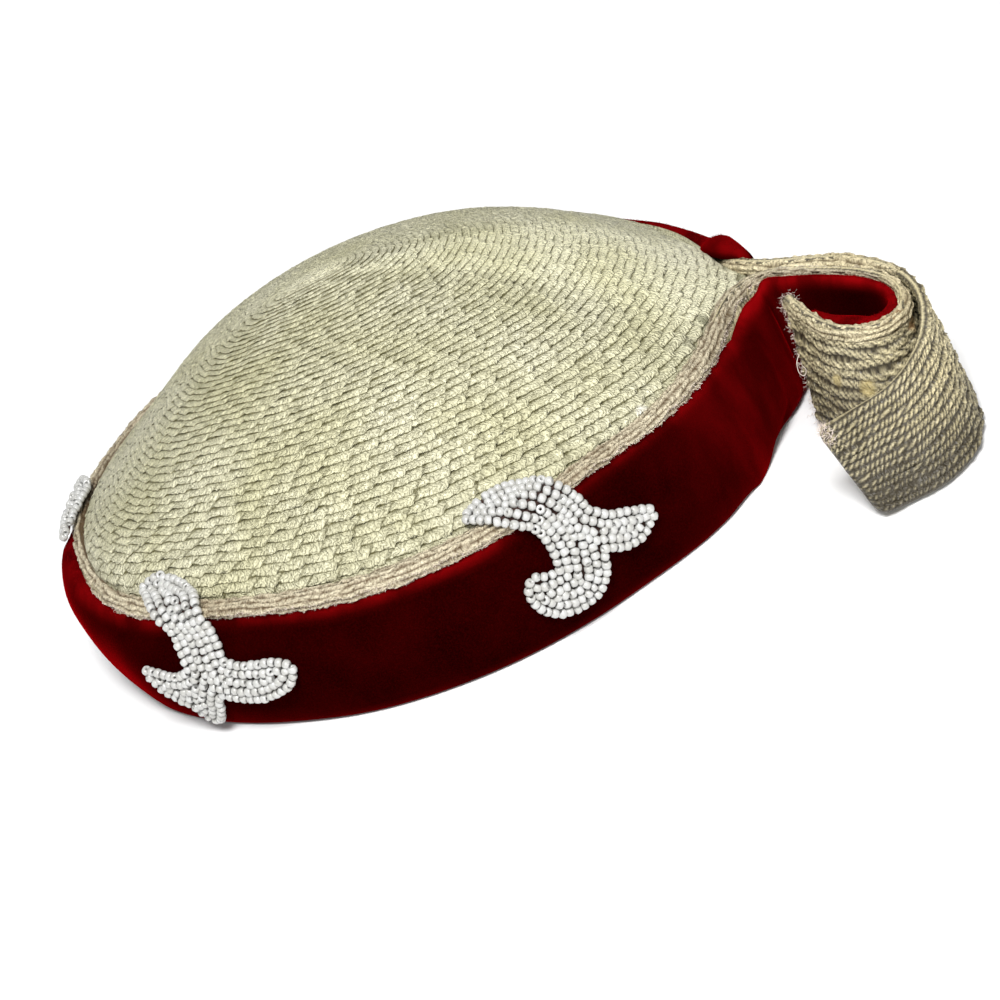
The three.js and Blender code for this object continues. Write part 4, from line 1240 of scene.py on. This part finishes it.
def velvet_fuzz(rings):
    """Pile that stands up along the velvet's top edge and its hem."""
    rng = np.random.default_rng(31)
    count = TOP_AND_HEM_PILE[0]
    top = np.argmax(rings[:, :, 2], axis=1)
    low = np.argmin(rings[:, :, 2] - 0.02 * np.arange(VELVET_COLUMNS), axis=1)
    station = rng.integers(0, len(rings) - 1, 2 * count)
    column = np.concatenate([
        top[station[:count]] + rng.integers(-1, 1, count),
        low[station[count:]] - rng.integers(-1, 3, count),
    ]) % VELVET_COLUMNS
    along, across = rng.random((2, 2 * count, 1))
    beside = (column + 1) % VELVET_COLUMNS
    first = rings[station, column] * along + rings[station + 1, column] * (1 - along)
    second = rings[station, beside] * along + rings[station + 1, beside] * (1 - along)
    roots = first * across + second * (1 - across)
    away = -surface_normals(rings)[station, column]
    return fibres("velvet_fuzz", roots, away, TOP_AND_HEM_PILE, PILE, 32)


def straw_fuzz(lip_points, roll_ring, wrap_ring):
    """Fibres at the lip's lower edge, the roll's raw end and the wrap's folded corner."""
    rng = np.random.default_rng(41)
    count = LIP_FIBRES[0]
    station = rng.integers(0, len(lip_points), count)
    roots = lip_points[station, rng.integers(*LIP_EDGE_COLUMNS, count)]
    fibres("lip_fuzz", roots, unit(roots * (1, 1, 0)), LIP_FIBRES, FIBRE, 42)
    count = RAW_END_FIBRES[0]
    ring = roll_ring[-4]
    roots = ring[rng.integers(0, len(ring), count)] + rng.normal(0, 0.5, (count, 3))
    away = unit((ring - roll_ring[-14]).mean(0)) + (0, 0, -0.4)
    fibres("raw_end_fibres", roots, away, RAW_END_FIBRES, FIBRE, 43)
    corner = wrap_ring[CORNER_STATIONS, CORNER_COLUMNS].reshape(-1, 3)
    roots = corner[rng.integers(0, len(corner), CORNER_FIBRES[0])]
    fibres("corner_fibres", roots, np.array([-0.4, 0.1, 0.7]), CORNER_FIBRES, FIBRE, 44)


crown_braid()
crown_inside()
wrap_ring = strip_tail("strip_wrap", 0, FIRST_HEAD + 0.6, 14, LOOP, 0.2, 100, (1, 0.7), fold=2.2)
roll_ring = strip_tail("strip_roll", LAST_HEAD + 0.6, LAST_ROW, 11, 1.3 * LOOP, 0.32, 200, (0.3, 0.8))
lip_points = lip("strip_lip", FIRST_HEAD + 3.2, ROLL_RIM, 300, LIP, sink=(5.0, 0.0))
lip("wrap_lip", WRAP_LIP_FIRST, FIRST_HEAD + 0.4, 400, EDGE, sink=(0.0, 3.0))
lip("roll_lip", ROLL_RIM - 0.2, LAST_ROW - 0.3, 500, EDGE)
strip_wall()
cloth_rings = velvet_rings()
cloth = velvet(cloth_rings)
fuzz = velvet_fuzz(cloth_rings)
straw_fuzz(lip_points, roll_ring, wrap_ring)
loose_thread()
for number, (motif_name, motif_angle, motif_lobes) in enumerate(MOTIFS):
    motif(motif_name, motif_angle, motif_lobes, 20 + number)


# Camera at the photograph's angle. Pixels are those of a 1000 by 1000 picture
VIEW_ELEVATION = math.radians(28.5)
VIEW_ROLL = math.radians(-25.3)
VIEW_DISTANCE = 600
VIEW_SHIFT = (13.8, -0.8)  # to the right and up
FOCAL_PIXELS = 2389
PICTURE = 1000
SENSOR = 36
FLOOR_HALF = 6.0  # metres
# Area lights, in metres and watts: name, place, aim, size, power
LIGHTS = [
    ("key", (-0.05, -0.64, 0.88), (0, 0, 0.03), 0.35, 15.2),
    ("fill", (0.3, -0.95, 0.35), (0.07, -0.05, 0.02), 0.5, 2.2),
    ("backdrop", (-0.1, 0.75, 0.9), (-0.1, 1.6, 0), 0.5, 9),
]


def camera():
    back = np.array([0, -math.cos(VIEW_ELEVATION), math.sin(VIEW_ELEVATION)])
    level = np.array([1.0, 0, 0])
    up = np.cross(back, level)
    right = math.cos(VIEW_ROLL) * level + math.sin(VIEW_ROLL) * up
    top = -math.sin(VIEW_ROLL) * level + math.cos(VIEW_ROLL) * up
    place = VIEW_DISTANCE * back + VIEW_SHIFT[0] * right + VIEW_SHIFT[1] * top
    data = bpy.data.cameras.new("camera")
    data.sensor_width = SENSOR
    data.lens = FOCAL_PIXELS * SENSOR / PICTURE
    made = bpy.data.objects.new("camera", data)
    axes = Matrix((right, top, back)).transposed().to_4x4()
    made.matrix_world = Matrix.Translation(Vector(in_frame(place)[0])) @ axes
    bpy.context.scene.collection.objects.link(made)
    bpy.context.scene.camera = made


def floor():
    corners = [(x * FLOOR_HALF, y * FLOOR_HALF, 0) for x, y in ((-1, -1), (1, -1), (1, 1), (-1, 1))]
    mesh = bpy.data.meshes.new("floor")
    mesh.from_pydata(corners, [], [(0, 1, 2, 3)])
    made, _, shader = new_material("floor")
    set_sockets(shader, Base_Color=(0.86, 0.86, 0.86, 1), Roughness=0.9)
    mesh.materials.append(made)
    plane = bpy.data.objects.new("floor", mesh)
    bpy.context.scene.collection.objects.link(plane)


def area_light(name, place, aim, size, power):
    data = bpy.data.lights.new(name, "AREA")
    data.size = size
    data.energy = power
    made = bpy.data.objects.new(name, data)
    made.location = place
    made.rotation_mode = "QUATERNION"
    made.rotation_quaternion = (Vector(aim) - Vector(place)).to_track_quat("-Z", "Y")
    bpy.context.scene.collection.objects.link(made)


def lighting():
    world = bpy.data.worlds.new("studio")
    world.use_nodes = True
    set_sockets(world.node_tree.nodes["Background"], Color=(1, 1, 1, 1), Strength=0.3)
    bpy.context.scene.world = world
    for light in LIGHTS:
        area_light(*light)
    bpy.context.scene.view_settings.view_transform = "Standard"


camera()
floor()
lighting()
